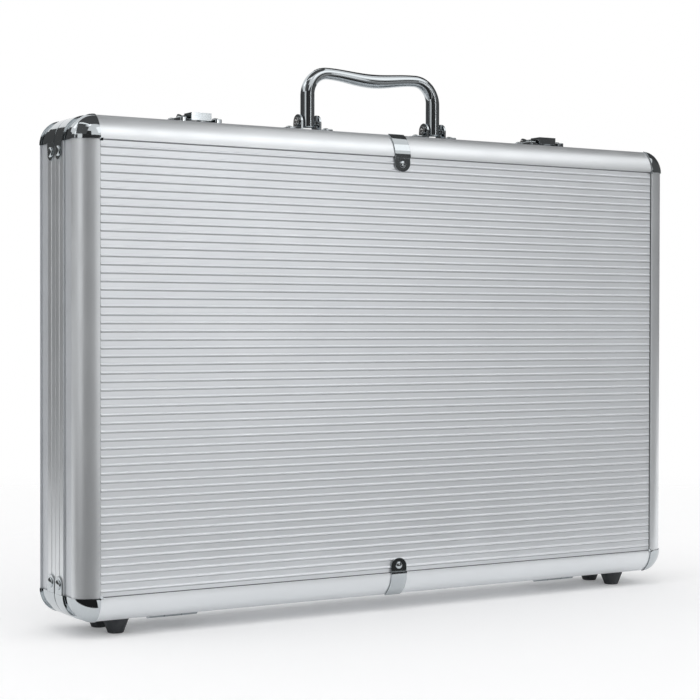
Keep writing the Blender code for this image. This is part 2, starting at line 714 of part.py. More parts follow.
def handle_route():
    """Return the centre line of the handle: two legs, two bends and a sagging grip."""
    half = HANDLE_SPAN / 2
    top = HANDLE_PIVOT_Z + HANDLE_RISE
    foot = HANDLE_PIVOT_Z - HANDLE_FOOT
    centre = (half - HANDLE_BEND, top - HANDLE_BEND)
    bend = arc(centre, HANDLE_BEND, 0, math.pi / 2, HANDLE_BEND_STEPS)
    right = [(half, foot)] + bend
    left = [(-x, z) for x, z in reversed(right)]
    grip = []
    for step in range(1, HANDLE_GRIP_STEPS):
        share = step / HANDLE_GRIP_STEPS
        dip = HANDLE_SAG * math.sin(math.pi * share) ** 2
        grip.append((centre[0] * (1 - 2 * share), top - dip))
    return right + grip + left


def rod_radius(x):
    """Return the handle's radius at a place along it: full at the legs and mid grip, thin between."""
    reach = HANDLE_SPAN / 2 - HANDLE_BEND
    share = min(abs(x) / reach, 1)
    if abs(x) > reach:
        blend = min((abs(x) - reach) / HANDLE_BEND, 1)
        return HANDLE_NECK_RADIUS + (HANDLE_ROD_RADIUS - HANDLE_NECK_RADIUS) * blend
    swell = (1 + math.cos(math.pi * share)) / 2
    return HANDLE_NECK_RADIUS + (HANDLE_GRIP_RADIUS - HANDLE_NECK_RADIUS) * swell


def build_handle():
    """Build the round-rod handle with its two brackets and pins."""
    axis = pivot("handle_pivot", (0, CLOSER_MIDDLE, HANDLE_PIVOT_Z))
    route = [Vector((x, CLOSER_MIDDLE, z)) for x, z in handle_route()]
    bm = bmesh.new()
    rings = []
    for index, point in enumerate(route):
        ahead = route[min(index + 1, len(route) - 1)] - route[max(index - 1, 0)]
        tilt = Vector((0, 0, 1)).rotation_difference(ahead).to_matrix().to_4x4()
        if ahead.z < 0 and abs(ahead.x) < FIT_GAP:
            tilt = Matrix.Rotation(math.pi, 4, "Y")
        ring = bmesh.ops.create_circle(bm, segments=ROD_SIDES, radius=rod_radius(point.x),
                                       matrix=Matrix.Translation(point) @ tilt)
        edges = {edge for vert in ring["verts"] for edge in vert.link_edges}
        if rings:
            bmesh.ops.bridge_loops(bm, edges=list(rings[-1] | edges))
        rings.append(edges)
    for edges in (rings[0], rings[-1]):
        bmesh.ops.contextual_create(bm, geom=list(edges))
    grip = add_object("handle_grip", bm, "chrome", axis, smooth=True)
    bores = bmesh.new()
    for sx in (-1, 1):
        add_rod(bores, (sx * HANDLE_SPAN / 2, CLOSER_MIDDLE, HANDLE_PIVOT_Z), HANDLE_PIN_RADIUS + FIT_GAP,
                2 * HANDLE_ROD_RADIUS + OVERRUN, "X", PIN_SIDES)
    combine(grip, bores, "DIFFERENCE", "bores")
    for hand, sx in SIDES:
        build_bracket(hand, sx * HANDLE_SPAN / 2)


def build_bracket(hand, x):
    """Build one handle bracket: a plate with two round-topped ears, and the pin through them."""
    plate_low = TOP_Z + FIT_GAP
    ear_inner = HANDLE_ROD_RADIUS + BRACKET_EAR_GAP
    ear_outer = ear_inner + BRACKET_WALL
    half_width = BRACKET_WIDTH / 2
    centre = (x, CLOSER_MIDDLE, HANDLE_PIVOT_Z)
    outline = rounded_rectangle(BRACKET_LENGTH / 2, half_width, BRACKET_CORNER, BRACKET_ROUND_STEPS)
    bm = bmesh.new()
    add_prism(bm, [(x + px, CLOSER_MIDDLE + py, plate_low) for px, py in outline], (0, 0, BRACKET_WALL))
    bracket = add_object(f"handle_bracket_{hand}", bm, "chrome", smooth=True)
    root = plate_low + BRACKET_WALL / 2
    ear = [(CLOSER_MIDDLE - half_width, root), (CLOSER_MIDDLE + half_width, root)]
    ear += arc((CLOSER_MIDDLE, HANDLE_PIVOT_Z), half_width, 0, math.pi, 2 * BRACKET_ROUND_STEPS)
    ears = bmesh.new()
    for sx in (-1, 1):
        add_prism(ears, [(x + sx * ear_inner, y, z) for y, z in ear], (sx * BRACKET_WALL, 0, 0))
    combine(bracket, ears, "UNION", "ears")
    hole = bmesh.new()
    add_rod(hole, centre, HANDLE_PIN_RADIUS + FIT_GAP, 2 * ear_outer + OVERRUN, "X", PIN_SIDES)
    combine(bracket, hole, "DIFFERENCE", "hole")

    bm = bmesh.new()
    head_offset = ear_outer + FIT_GAP + PIN_HEAD_THICKNESS / 2
    add_rod(bm, centre, HANDLE_PIN_RADIUS, 2 * head_offset, "X", PIN_SIDES)
    pin = add_object(f"handle_pin_{hand}", bm, "steel_pin", smooth=True)
    heads = bmesh.new()
    for sx in (-1, 1):
        place = (x + sx * head_offset, CLOSER_MIDDLE, HANDLE_PIVOT_Z)
        add_rod(heads, place, PIN_HEAD_RADIUS, PIN_HEAD_THICKNESS, "X", PIN_SIDES)
    combine(pin, heads, "UNION", "heads")


def eye(y, z, radius, start, sweep):
    """Return the round part of a lever's or a hook's side outline."""
    return arc((y, TOP_Z + z), radius, start, sweep, EYE_STEPS)


def build_latch(hand, x, lid_pivot):
    """Build one draw latch: base plate, lever, hook and their pins, and the catch on the lid."""
    build_latch_base(hand, x)
    lever_pivot = pivot(f"latch_{hand}_lever_pivot", (x, LATCH_PIVOT_OUT, TOP_Z + LATCH_PIVOT_HEIGHT))
    hook_place = (x, HOOK_PIVOT_OUT, TOP_Z + HOOK_PIVOT_HEIGHT)
    hook_pivot = pivot(f"latch_{hand}_hook_pivot", hook_place, lever_pivot)
    build_lever(hand, x, lever_pivot)
    build_hook(hand, x, hook_pivot)
    build_catch(hand, x, lid_pivot)

    bm = bmesh.new()
    ear_outer = LEVER_HALF_WIDTH + FIT_GAP + LATCH_EAR_WALL
    add_rod(bm, (x, LATCH_PIVOT_OUT, TOP_Z + LATCH_PIVOT_HEIGHT), LATCH_PIN_RADIUS,
            2 * (ear_outer + LATCH_PIN_RADIUS / 2), "X", PIN_SIDES)
    add_object(f"latch_{hand}_lever_pin", bm, "steel_pin", smooth=True)
    bm = bmesh.new()
    add_rod(bm, hook_place, HOOK_PIN_RADIUS, 2 * LEVER_HALF_WIDTH + HOOK_PIN_RADIUS, "X", PIN_SIDES)
    add_object(f"latch_{hand}_hook_pin", bm, "steel_pin", lever_pivot, smooth=True)


def latch_plate(bm, x, near, far):
    """Add the flat plate of a latch half, with round corners."""
    outline = rounded_rectangle(LATCH_PLATE_LENGTH / 2, (far - near) / 2, LATCH_PLATE_CORNER, EYE_STEPS // 2)
    middle = (near + far) / 2
    low = TOP_Z + FIT_GAP
    add_prism(bm, [(x + px, middle + py, low) for px, py in outline], (0, 0, LATCH_PLATE_WALL))


def build_latch_base(hand, x):
    """Build the base plate with the two ears that carry the lever's pin."""
    bm = bmesh.new()
    latch_plate(bm, x, SEAM_HALF_GAP + LEAF_MARGIN, SEAM_HALF_GAP + CLOSER_WIDTH)
    base = add_object(f"latch_{hand}_base", bm, "chrome")
    ears = bmesh.new()
    ear_inner = LEVER_HALF_WIDTH + FIT_GAP
    root = TOP_Z + FIT_GAP + LATCH_PLATE_WALL / 2
    side_view = [(LATCH_PIVOT_OUT - LATCH_EAR_RADIUS, root), (LATCH_PIVOT_OUT + LATCH_EAR_RADIUS, root)]
    side_view += eye(LATCH_PIVOT_OUT, LATCH_PIVOT_HEIGHT, LATCH_EAR_RADIUS, 0, math.pi)
    for sx in (-1, 1):
        add_prism(ears, [(x + sx * ear_inner, y, z) for y, z in side_view], (sx * LATCH_EAR_WALL, 0, 0))
    combine(base, ears, "UNION", "ears")
    hole = bmesh.new()
    add_rod(hole, (x, LATCH_PIVOT_OUT, TOP_Z + LATCH_PIVOT_HEIGHT), LATCH_PIN_RADIUS + FIT_GAP,
            2 * (ear_inner + LATCH_EAR_WALL) + OVERRUN, "X", PIN_SIDES)
    combine(base, hole, "DIFFERENCE", "hole")


def build_lever(hand, x, parent):
    """Build the lever: two arms from pivot to hook pin, and the finger paddle behind them."""
    lean = math.atan2(HOOK_PIVOT_HEIGHT - LATCH_PIVOT_HEIGHT, HOOK_PIVOT_OUT - LATCH_PIVOT_OUT)
    drop = math.atan2(HOOK_PIVOT_HEIGHT - PADDLE_TIP_HEIGHT, PADDLE_END - HOOK_PIVOT_OUT)
    arm = eye(LATCH_PIVOT_OUT, LATCH_PIVOT_HEIGHT, LEVER_EYE_RADIUS, lean + math.pi / 2, math.pi)
    arm += [(PADDLE_START, TOP_Z + HOOK_PIVOT_HEIGHT - LEVER_EYE_RADIUS)]
    arm += [(PADDLE_START, TOP_Z + HOOK_PIVOT_HEIGHT)]
    arm += eye(HOOK_PIVOT_OUT, HOOK_PIVOT_HEIGHT, LEVER_EYE_RADIUS, 0, lean + math.pi / 2)[1:]
    bm = bmesh.new()
    for sx in (-1, 1):
        inner = x + sx * (LEVER_HALF_WIDTH - LEVER_WALL)
        add_prism(bm, [(inner, y, z) for y, z in arm], (sx * LEVER_WALL, 0, 0))
    lever = add_object(f"latch_{hand}_lever", bm, "chrome", parent, smooth=True)

    start = PADDLE_START - LEVER_WALL
    slope = math.tan(drop)
    start_z = TOP_Z + HOOK_PIVOT_HEIGHT - (start - HOOK_PIVOT_OUT) * slope
    tip_z = TOP_Z + PADDLE_TIP_HEIGHT
    neck = LEVER_HALF_WIDTH
    wide = PADDLE_HALF_WIDTH
    shoulder = start + (PADDLE_END - start) / 3
    right = [(neck, start), (wide, shoulder)]
    corner = (wide - PADDLE_ROUND, PADDLE_END - PADDLE_ROUND)
    right += arc(corner, PADDLE_ROUND, 0, math.pi / 2, EYE_STEPS // 2)
    outline = right + [(-px, py) for px, py in reversed(right)]
    paddle = bmesh.new()
    fall = (start_z - tip_z) / (PADDLE_END - start)
    top_face = [(x + px, py, start_z - (py - start) * fall) for px, py in outline]
    add_prism(paddle, top_face, (0, 0, -LEVER_WALL))
    combine(lever, paddle, "UNION", "paddle")
    holes = bmesh.new()
    width = 2 * LEVER_HALF_WIDTH + OVERRUN
    for out, height, radius in ((LATCH_PIVOT_OUT, LATCH_PIVOT_HEIGHT, LATCH_PIN_RADIUS),
                                (HOOK_PIVOT_OUT, HOOK_PIVOT_HEIGHT, HOOK_PIN_RADIUS)):
        add_rod(holes, (x, out, TOP_Z + height), radius + FIT_GAP, width, "X", PIN_SIDES)
    combine(lever, holes, "DIFFERENCE", "holes")


def build_hook(hand, x, parent):
    """Build the hook: an eye on the lever's pin, a flat arm over the seam and a wide claw."""
    arm_top = TOP_Z + HOOK_PIVOT_HEIGHT + LATCH_PLATE_WALL
    arm_low = arm_top - HOOK_WALL
    claw_low = TOP_Z + FIT_GAP + LATCH_PLATE_WALL + NOSE_HEIGHT + CLAW_CLEARANCE
    front = -CLAW_REACH
    back_of_claw = front + HOOK_WALL
    rise = math.asin((arm_low - TOP_Z - HOOK_PIVOT_HEIGHT) / HOOK_EYE_RADIUS)
    top_rise = math.asin((arm_top - TOP_Z - HOOK_PIVOT_HEIGHT) / HOOK_EYE_RADIUS)
    outline = eye(HOOK_PIVOT_OUT, HOOK_PIVOT_HEIGHT, HOOK_EYE_RADIUS, math.pi - rise,
                  math.pi + rise + top_rise)
    outline += [(front + HOOK_WALL / 2, arm_top), (front + HOOK_WALL / 2, arm_low)]
    bm = bmesh.new()
    add_prism(bm, [(x - HOOK_HALF_WIDTH, y, z) for y, z in outline], (2 * HOOK_HALF_WIDTH, 0, 0))
    hook = add_object(f"latch_{hand}_hook", bm, "chrome", parent, smooth=True)
    lip_top = claw_low + CLAW_LIP_WALL
    side_view = [(-CLAW_START, arm_top + CLAW_STEP), (front, arm_top + CLAW_STEP), (front, claw_low)]
    side_view += [(back_of_claw + CLAW_LIP, claw_low), (back_of_claw + CLAW_LIP, lip_top)]
    side_view += [(back_of_claw, lip_top), (back_of_claw, arm_low - CLAW_STEP)]
    side_view += [(-CLAW_START, arm_low - CLAW_STEP)]
    claw = bmesh.new()
    add_prism(claw, [(x - CLAW_HALF_WIDTH, y, z) for y, z in side_view], (2 * CLAW_HALF_WIDTH, 0, 0))
    combine(hook, claw, "UNION", "claw")
    hole = bmesh.new()
    add_rod(hole, (x, HOOK_PIVOT_OUT, TOP_Z + HOOK_PIVOT_HEIGHT), HOOK_PIN_RADIUS + FIT_GAP,
            2 * HOOK_HALF_WIDTH + OVERRUN, "X", PIN_SIDES)
    combine(hook, hole, "DIFFERENCE", "hole")


def build_catch(hand, x, parent):
    """Build the catch plate on the lid, with the low nose that the claw grips."""
    bm = bmesh.new()
    latch_plate(bm, x, -SEAM_HALF_GAP - CLOSER_WIDTH, -SEAM_HALF_GAP - LEAF_MARGIN)
    catch = add_object(f"latch_{hand}_catch", bm, "chrome", parent)
    nose = bmesh.new()
    start = -CLAW_REACH + HOOK_WALL + CLAW_LIP + NOSE_GAP
    low = TOP_Z + FIT_GAP + LATCH_PLATE_WALL / 2
    high = TOP_Z + FIT_GAP + LATCH_PLATE_WALL + NOSE_HEIGHT
    add_block(nose, (x - NOSE_LENGTH / 2, start, low), (x + NOSE_LENGTH / 2, start + NOSE_WIDTH, high))
    combine(catch, nose, "UNION", "nose")


def build_case():
    """Build the whole case, shell by shell, and then its hardware."""
    clear_scene()
    lid_pivot = pivot("lid_pivot", (0, 0, HINGE_Z))
    for shell, side in SHELLS:
        parent = lid_pivot if side == LID else None
        build_panel(shell, side, parent)
        build_boards(shell, side, parent)
        build_trims(shell, side, parent)
        build_closer(shell, side, parent)
        build_caps(shell, side, parent)
        build_clips(shell, side, parent)
        build_feet(shell, side, parent)
    build_racks()
    build_lid_pad(lid_pivot)
    build_hinges(lid_pivot)
    build_handle()
    for hand, sx in SIDES:
        build_latch(hand, sx * LATCH_X, lid_pivot)


build_case()
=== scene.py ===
"""Dresses the aluminium poker chip case and sets up its studio.

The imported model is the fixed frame. Round forms are made again here with
finer steps, the sheet metal gets its soft edges and rivets, and every surface
gets its finish. All lengths are in metres.

On each shell a place is given by u, the reach past the edge of the ribbed
face, and v, the depth from the outer face of the edge trim.
"""
from __future__ import annotations

import logging
import math
from collections.abc import Callable, Iterable, Sequence
from dataclasses import dataclass
from enum import Enum
from functools import cached_property

import bmesh
import bpy
from mathutils import Matrix, Vector


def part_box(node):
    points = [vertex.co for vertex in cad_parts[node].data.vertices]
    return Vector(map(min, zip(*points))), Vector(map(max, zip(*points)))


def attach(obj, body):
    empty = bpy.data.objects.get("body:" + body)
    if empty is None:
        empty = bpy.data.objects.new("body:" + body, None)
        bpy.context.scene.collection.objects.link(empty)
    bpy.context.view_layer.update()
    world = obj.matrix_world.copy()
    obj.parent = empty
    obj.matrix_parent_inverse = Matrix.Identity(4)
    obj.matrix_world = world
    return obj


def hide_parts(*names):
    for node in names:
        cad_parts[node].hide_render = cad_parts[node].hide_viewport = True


logging.basicConfig(level=logging.INFO, format="%(message)s")
LOG = logging.getLogger("chip_case")

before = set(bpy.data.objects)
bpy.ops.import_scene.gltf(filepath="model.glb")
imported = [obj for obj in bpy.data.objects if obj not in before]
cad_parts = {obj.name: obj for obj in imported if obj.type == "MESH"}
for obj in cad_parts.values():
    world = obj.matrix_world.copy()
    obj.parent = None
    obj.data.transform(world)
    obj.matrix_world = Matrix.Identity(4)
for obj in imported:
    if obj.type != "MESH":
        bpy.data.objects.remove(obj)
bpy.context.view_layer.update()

Point = tuple[float, float]
Move = tuple[Matrix, int]


class Word(Enum):
    """A choice whose name is also a word in the nodes' names."""

    @property
    def label(self) -> str:
        """Return the word as the nodes carry it."""
        return self.name.lower()


class Shell(Word):
    """The two halves of the case, with the side of the seam that each is on."""

    BASE = 1
    LID = -1

    @property
    def side(self) -> int:
        """Return +1 on the base's side of the seam and -1 on the lid's."""
        return self.value


class Hand(Word):
    """Left and right as the photograph shows the case."""

    LEFT = -1
    RIGHT = 1


class End(Word):
    """The bottom and the top of the case."""

    BOTTOM = -1
    TOP = 1


@dataclass(frozen=True)
class CaseSizes:
    """The sizes that every sub-assembly shares, the same as the frame's."""

    trim_depth: float = 0.0085
    closer_width: float = 0.0116
    board_recess: float = 0.00135
    seam_half_gap: float = 0.00015
    fit_gap: float = 0.0003
    shell_depth: float = 0.0328
    panel_tuck: float = 0.0020
    panel_set_back: float = 0.0012
    panel_thickness: float = 0.0030
    board_inner: float = 0.00965
    joint_top: float = -0.0004
    joint_bottom: float = -0.0026

    @cached_property
    def half_w(self) -> float:
        """Return half the width of the face inside its trim."""
        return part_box("lid_panel")[1][0] - self.panel_tuck

    @cached_property
    def bottom_z(self) -> float:
        """Return the height of the shells' lower edge."""
        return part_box("lid_closing_profile")[0][2]

    @cached_property
    def top_z(self) -> float:
        """Return the height of the shells' upper edge."""
        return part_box("lid_closing_profile")[1][2]

    @cached_property
    def reach(self) -> float:
        """Return how far the trim goes past the edge of the face."""
        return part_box("lid_closing_profile")[1][0] - self.half_w

    @cached_property
    def centre_z(self) -> float:
        """Return the height of the face's middle."""
        return (self.bottom_z + self.top_z) / 2

    @cached_property
    def half_h(self) -> float:
        """Return half the height of the face inside its trim."""
        return (self.top_z - self.bottom_z) / 2 - self.reach

    @cached_property
    def trim_radius(self) -> float:
        """Return the radius of the trim's curve."""
        return (self.reach ** 2 + self.trim_depth ** 2) / (2 * self.trim_depth)

    @cached_property
    def trim_sweep(self) -> float:
        """Return the angle of the trim's curve."""
        return math.asin(self.reach / self.trim_radius)

    @cached_property
    def closer_start(self) -> float:
        """Return the depth at which the closing profile starts."""
        return self.shell_depth - self.closer_width

    @cached_property
    def closer_middle(self) -> float:
        """Return how far the closing profile's middle lies from the seam."""
        return self.seam_half_gap + self.closer_width / 2

    def depth_y(self, shell: Shell, v: float) -> float:
        """Return the Y of a depth below the outer face of a shell.

        Args:
            shell: The shell that the depth is measured on.
            v: The depth below its outer face.

        Returns:
            The Y of that depth.
        """
        return shell.side * (self.seam_half_gap + self.shell_depth - v)

    def corner(self, sx: int, sz: int) -> Vector:
        """Return the place of a corner of the face.

        Args:
            sx: -1 for a left corner, +1 for a right one.
            sz: -1 for a bottom corner, +1 for a top one.

        Returns:
            The corner, with no depth.
        """
        return Vector((sx * self.half_w, 0, self.centre_z + sz * self.half_h))

    def arc(self, lift: float, steps: int) -> list[Point]:
        """Return u and v points of the trim's curve, lifted off it.

        Args:
            lift: How far outside the trim's skin the points lie.
            steps: How many steps the curve has.

        Returns:
            The points, from the face outwards.
        """
        radius = self.trim_radius + lift
        angles = [self.trim_sweep * step / steps for step in range(steps + 1)]
        return [(radius * math.sin(a), self.trim_radius - radius * math.cos(a)) for a in angles]


SIZES = CaseSizes()
FLAT_CORNER = math.radians(160)
FILLET_PARTS = 2.2


def circle_arc(centre: Point, radius: float, start: float, sweep: float, steps: int) -> list[Point]:
    """Return the points of an arc.

    Args:
        centre: The arc's centre in its plane.
        radius: The arc's radius.
        start: The start angle in radians.
        sweep: The angle that the arc covers.
        steps: How many steps it has.

    Returns:
        The points, one more than there are steps.
    """
    angles = [start + sweep * step / steps for step in range(steps + 1)]
    return [(centre[0] + radius * math.cos(a), centre[1] + radius * math.sin(a)) for a in angles]


def fillet(outline: Sequence[Point], radius: float, steps: int, skip: Iterable[int] = ()) -> list[Point]:
    """Round the corners of a closed outline by cutting each with a curve.

    Args:
        outline: The corner points.
        radius: How far from the corner the curve starts, at most.
        steps: How many steps each curve has.
        skip: The indices of corners that stay sharp.

    Returns:
        The outline with its corners rounded.
    """
    kept = set(skip)
    points: list[Point] = []
    count = len(outline)
    for index, corner in enumerate(outline):
        here = Vector(corner)
        before = Vector(outline[index - 1]) - here
        after = Vector(outline[(index + 1) % count]) - here
        if index in kept or before.angle(after, math.pi) > FLAT_CORNER:
            points.append((here.x, here.y))
            continue
        reach = min(radius, before.length / FILLET_PARTS, after.length / FILLET_PARTS)
        first = here + before.normalized() * reach
        last = here + after.normalized() * reach
        for step in range(steps + 1):
            t = step / steps
            bend = first * (1 - t) ** 2 + here * (2 * t * (1 - t)) + last * t ** 2
            points.append((bend.x, bend.y))
    return points


def grown_verts(result: dict) -> list[bmesh.types.BMVert]:
    """Return the vertices among what an extrude made."""
    return [part for part in result["geom"] if isinstance(part, bmesh.types.BMVert)]


def grown_edges(result: dict) -> list[bmesh.types.BMEdge]:
    """Return the edges between the new vertices that an extrude made.

    Args:
        result: What the extrude gave back.

    Returns:
        The edges whose two ends are both new.
    """
    fresh = set(grown_verts(result))
    return [part for part in result["geom"] if isinstance(part, bmesh.types.BMEdge)
            and part.verts[0] in fresh and part.verts[1] in fresh]


def add_prism(bm: bmesh.types.BMesh, outline: Sequence[Vector], shift: Vector) -> list[bmesh.types.BMVert]:
    """Extrude a flat outline into a closed block.

    Args:
        bm: The mesh to add to.
        outline: The outline's points in space.
        shift: The way that it is extruded.

    Returns:
        The vertices of the block.
    """
    start = [bm.verts.new(point) for point in outline]
    face = bm.faces.new(start)
    grown = grown_verts(bmesh.ops.extrude_face_region(bm, geom=[face], use_keep_orig=True))
    bmesh.ops.translate(bm, verts=grown, vec=shift)
    return start + grown


def bevel_sharp(bm: bmesh.types.BMesh, width: float, degrees: float, segments: int = 2) -> None:
    """Round the sharp convex and hollow edges of a mesh.

    Args:
        bm: The mesh.
        width: The width of the rounding.
        degrees: The least angle between two faces that counts as an edge.
        segments: The steps of the rounding.
    """
    least = math.radians(degrees)
    sharp = [edge for edge in bm.edges if len(edge.link_faces) == 2 and edge.calc_face_angle(0) > least]
    bmesh.ops.bevel(bm, geom=sharp, offset=width, segments=segments, profile=0.5, affect="EDGES",
                    material=-1, clamp_overlap=True)


def outward(bm: bmesh.types.BMesh) -> None:
    """Merge doubles and turn every face outwards."""
    bmesh.ops.remove_doubles(bm, verts=bm.verts, dist=SIZES.fit_gap / 100)
    bmesh.ops.recalc_face_normals(bm, faces=bm.faces)


def join(bm: bmesh.types.BMesh, other: bmesh.types.BMesh) -> None:
    """Add another mesh's shapes to a mesh and free the other.

    Args:
        bm: The mesh to add to.
        other: The mesh that is added.
    """
    mesh = bpy.data.meshes.new("joined")
    other.to_mesh(mesh)
    other.free()
    bm.from_mesh(mesh)
    bpy.data.meshes.remove(mesh)


def new_object(name: str, bm: bmesh.types.BMesh, material: bpy.types.Material) -> bpy.types.Object:
    """Make a mesh an object of the scene.

    Args:
        name: The object's name.
        bm: The mesh, in the case's own frame. It is freed.
        material: The object's finish.

    Returns:
        The new object.
    """
    mesh = bpy.data.meshes.new(name)
    bm.to_mesh(mesh)
    bm.free()
    mesh.materials.append(material)
    made = bpy.data.objects.new(name, mesh)
    bpy.context.scene.collection.objects.link(made)
    return made


def add_piece(name: str, bm: bmesh.types.BMesh, body: str, material: bpy.types.Material,
              replaced: Sequence[str] = (), angle: float = 35.0) -> bpy.types.Object:
    """Put a finished mesh in the scene as a piece of a body.

    Args:
        name: The piece's name.
        bm: The mesh, in the case's own frame. It is freed.
        body: The body that the piece rides on.
        material: The piece's finish.
        replaced: The nodes that the piece stands for.
        angle: The sharpest angle, in degrees, that is shaded smooth.

    Returns:
        The new object.
    """
    piece = new_object(name, bm, material)
    piece.data.shade_smooth()
    piece.data.set_sharp_from_angle(angle=math.radians(angle))
    weighted = piece.modifiers.new("weighted_normals", "WEIGHTED_NORMAL")
    weighted.keep_sharp = True
    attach(piece, body)
    if replaced:
        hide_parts(*replaced)
    LOG.info("piece %s on %s, %d faces", name, body, len(piece.data.polygons))
    return piece


class NodeKit:
    """A small helper that lays out a material's or a group's nodes."""

    def __init__(self, tree: bpy.types.NodeTree) -> None:
        """Keep the tree that the nodes go into."""
        self.tree = tree

    @classmethod
    def material(cls, name: str) -> tuple[bpy.types.Material, NodeKit]:
        """Start a material that is made of nodes.

        Args:
            name: The material's name.
        """
        material = bpy.data.materials.new(name)
        material.use_nodes = True
        return material, cls(material.node_tree)

    def add(self, kind: str, links: dict[str | int, bpy.types.NodeSocket] | None = None,
            values: dict[str | int, object] | None = None, **settings: object) -> bpy.types.Node:
        """Add a node.

        Args:
            kind: The node's type.
            links: Sockets that feed the node's inputs, by name or index.
            values: Plain values of its inputs, by name or index.
            settings: Properties of the node itself.

        Returns:
            The new node.
        """
        node = self.tree.nodes.new(kind)
        for key, setting in settings.items():
            setattr(node, key, setting)
        for key, value in (values or {}).items():
            node.inputs[key].default_value = value
        for key, source in (links or {}).items():
            self.tree.links.new(source, node.inputs[key])
        return node

    def noise(self, coordinates: bpy.types.NodeSocket, scale: float | bpy.types.NodeSocket,
              detail: float = 3.0, roughness: float = 0.5) -> bpy.types.NodeSocket:
        """Add a noise texture.

        Args:
            coordinates: What it is read at.
            scale: Its scale, plain or linked.
            detail: How many finer layers it has.
            roughness: How strong the finer layers are.

        Returns:
            Its value socket.
        """
        node = self.add("ShaderNodeTexNoise", {"Vector": coordinates},
                        {"Detail": detail, "Roughness": roughness})
        self.feed(node.inputs["Scale"], scale)
        return node.outputs["Fac"]

    def feed(self, socket: bpy.types.NodeSocket, value: float | bpy.types.NodeSocket) -> None:
        """Give an input a plain value or a link.

        Args:
            socket: The input.
            value: The value, or the socket that feeds it.
        """
        if isinstance(value, bpy.types.NodeSocket):
            self.tree.links.new(value, socket)
        else:
            socket.default_value = value

    def math(self, operation: str, first: float | bpy.types.NodeSocket,
             second: float | bpy.types.NodeSocket = 0.0) -> bpy.types.NodeSocket:
        """Add a math node.

        Args:
            operation: What it works out.
            first: Its first value, plain or linked.
            second: Its second value, plain or linked.

        Returns:
            Its value socket.
        """
        node = self.add("ShaderNodeMath", operation=operation)
        self.feed(node.inputs[0], first)
        self.feed(node.inputs[1], second)
        return node.outputs[0]

    def ramp(self, source: bpy.types.NodeSocket, low: float, high: float, low_out: float = 0.0,
             high_out: float = 1.0) -> bpy.types.NodeSocket:
        """Map a range of a value to another, clamped.

        Args:
            source: The value.
            low: Where its range starts.
            high: Where its range ends.
            low_out: What the start becomes.
            high_out: What the end becomes.

        Returns:
            The new value's socket.
        """
        node = self.add("ShaderNodeMapRange", {"Value": source},
                        {"From Min": low, "From Max": high, "To Min": low_out, "To Max": high_out})
        return node.outputs["Result"]

    def mix(self, factor: bpy.types.NodeSocket, first: Sequence[float] | bpy.types.NodeSocket,
            second: Sequence[float] | bpy.types.NodeSocket) -> bpy.types.NodeSocket:
        """Mix two colours by a value.

        Args:
            factor: The share of the second colour.
            first: The first colour, plain or linked.
            second: The second colour, plain or linked.

        Returns:
            The mixed colour's socket.
        """
        node = self.add("ShaderNodeMix", {"Factor": factor}, data_type="RGBA")
        self.feed_colour(node.inputs[6], first)
        self.feed_colour(node.inputs[7], second)
        return node.outputs[2]

    def feed_colour(self, socket: bpy.types.NodeSocket,
                    value: Sequence[float] | bpy.types.NodeSocket) -> None:
        """Give a colour input a plain colour or a link.

        Args:
            socket: The input.
            value: The colour, or the socket that feeds it.
        """
        if isinstance(value, bpy.types.NodeSocket):
            self.tree.links.new(value, socket)
        else:
            socket.default_value = (*value[:3], 1.0)


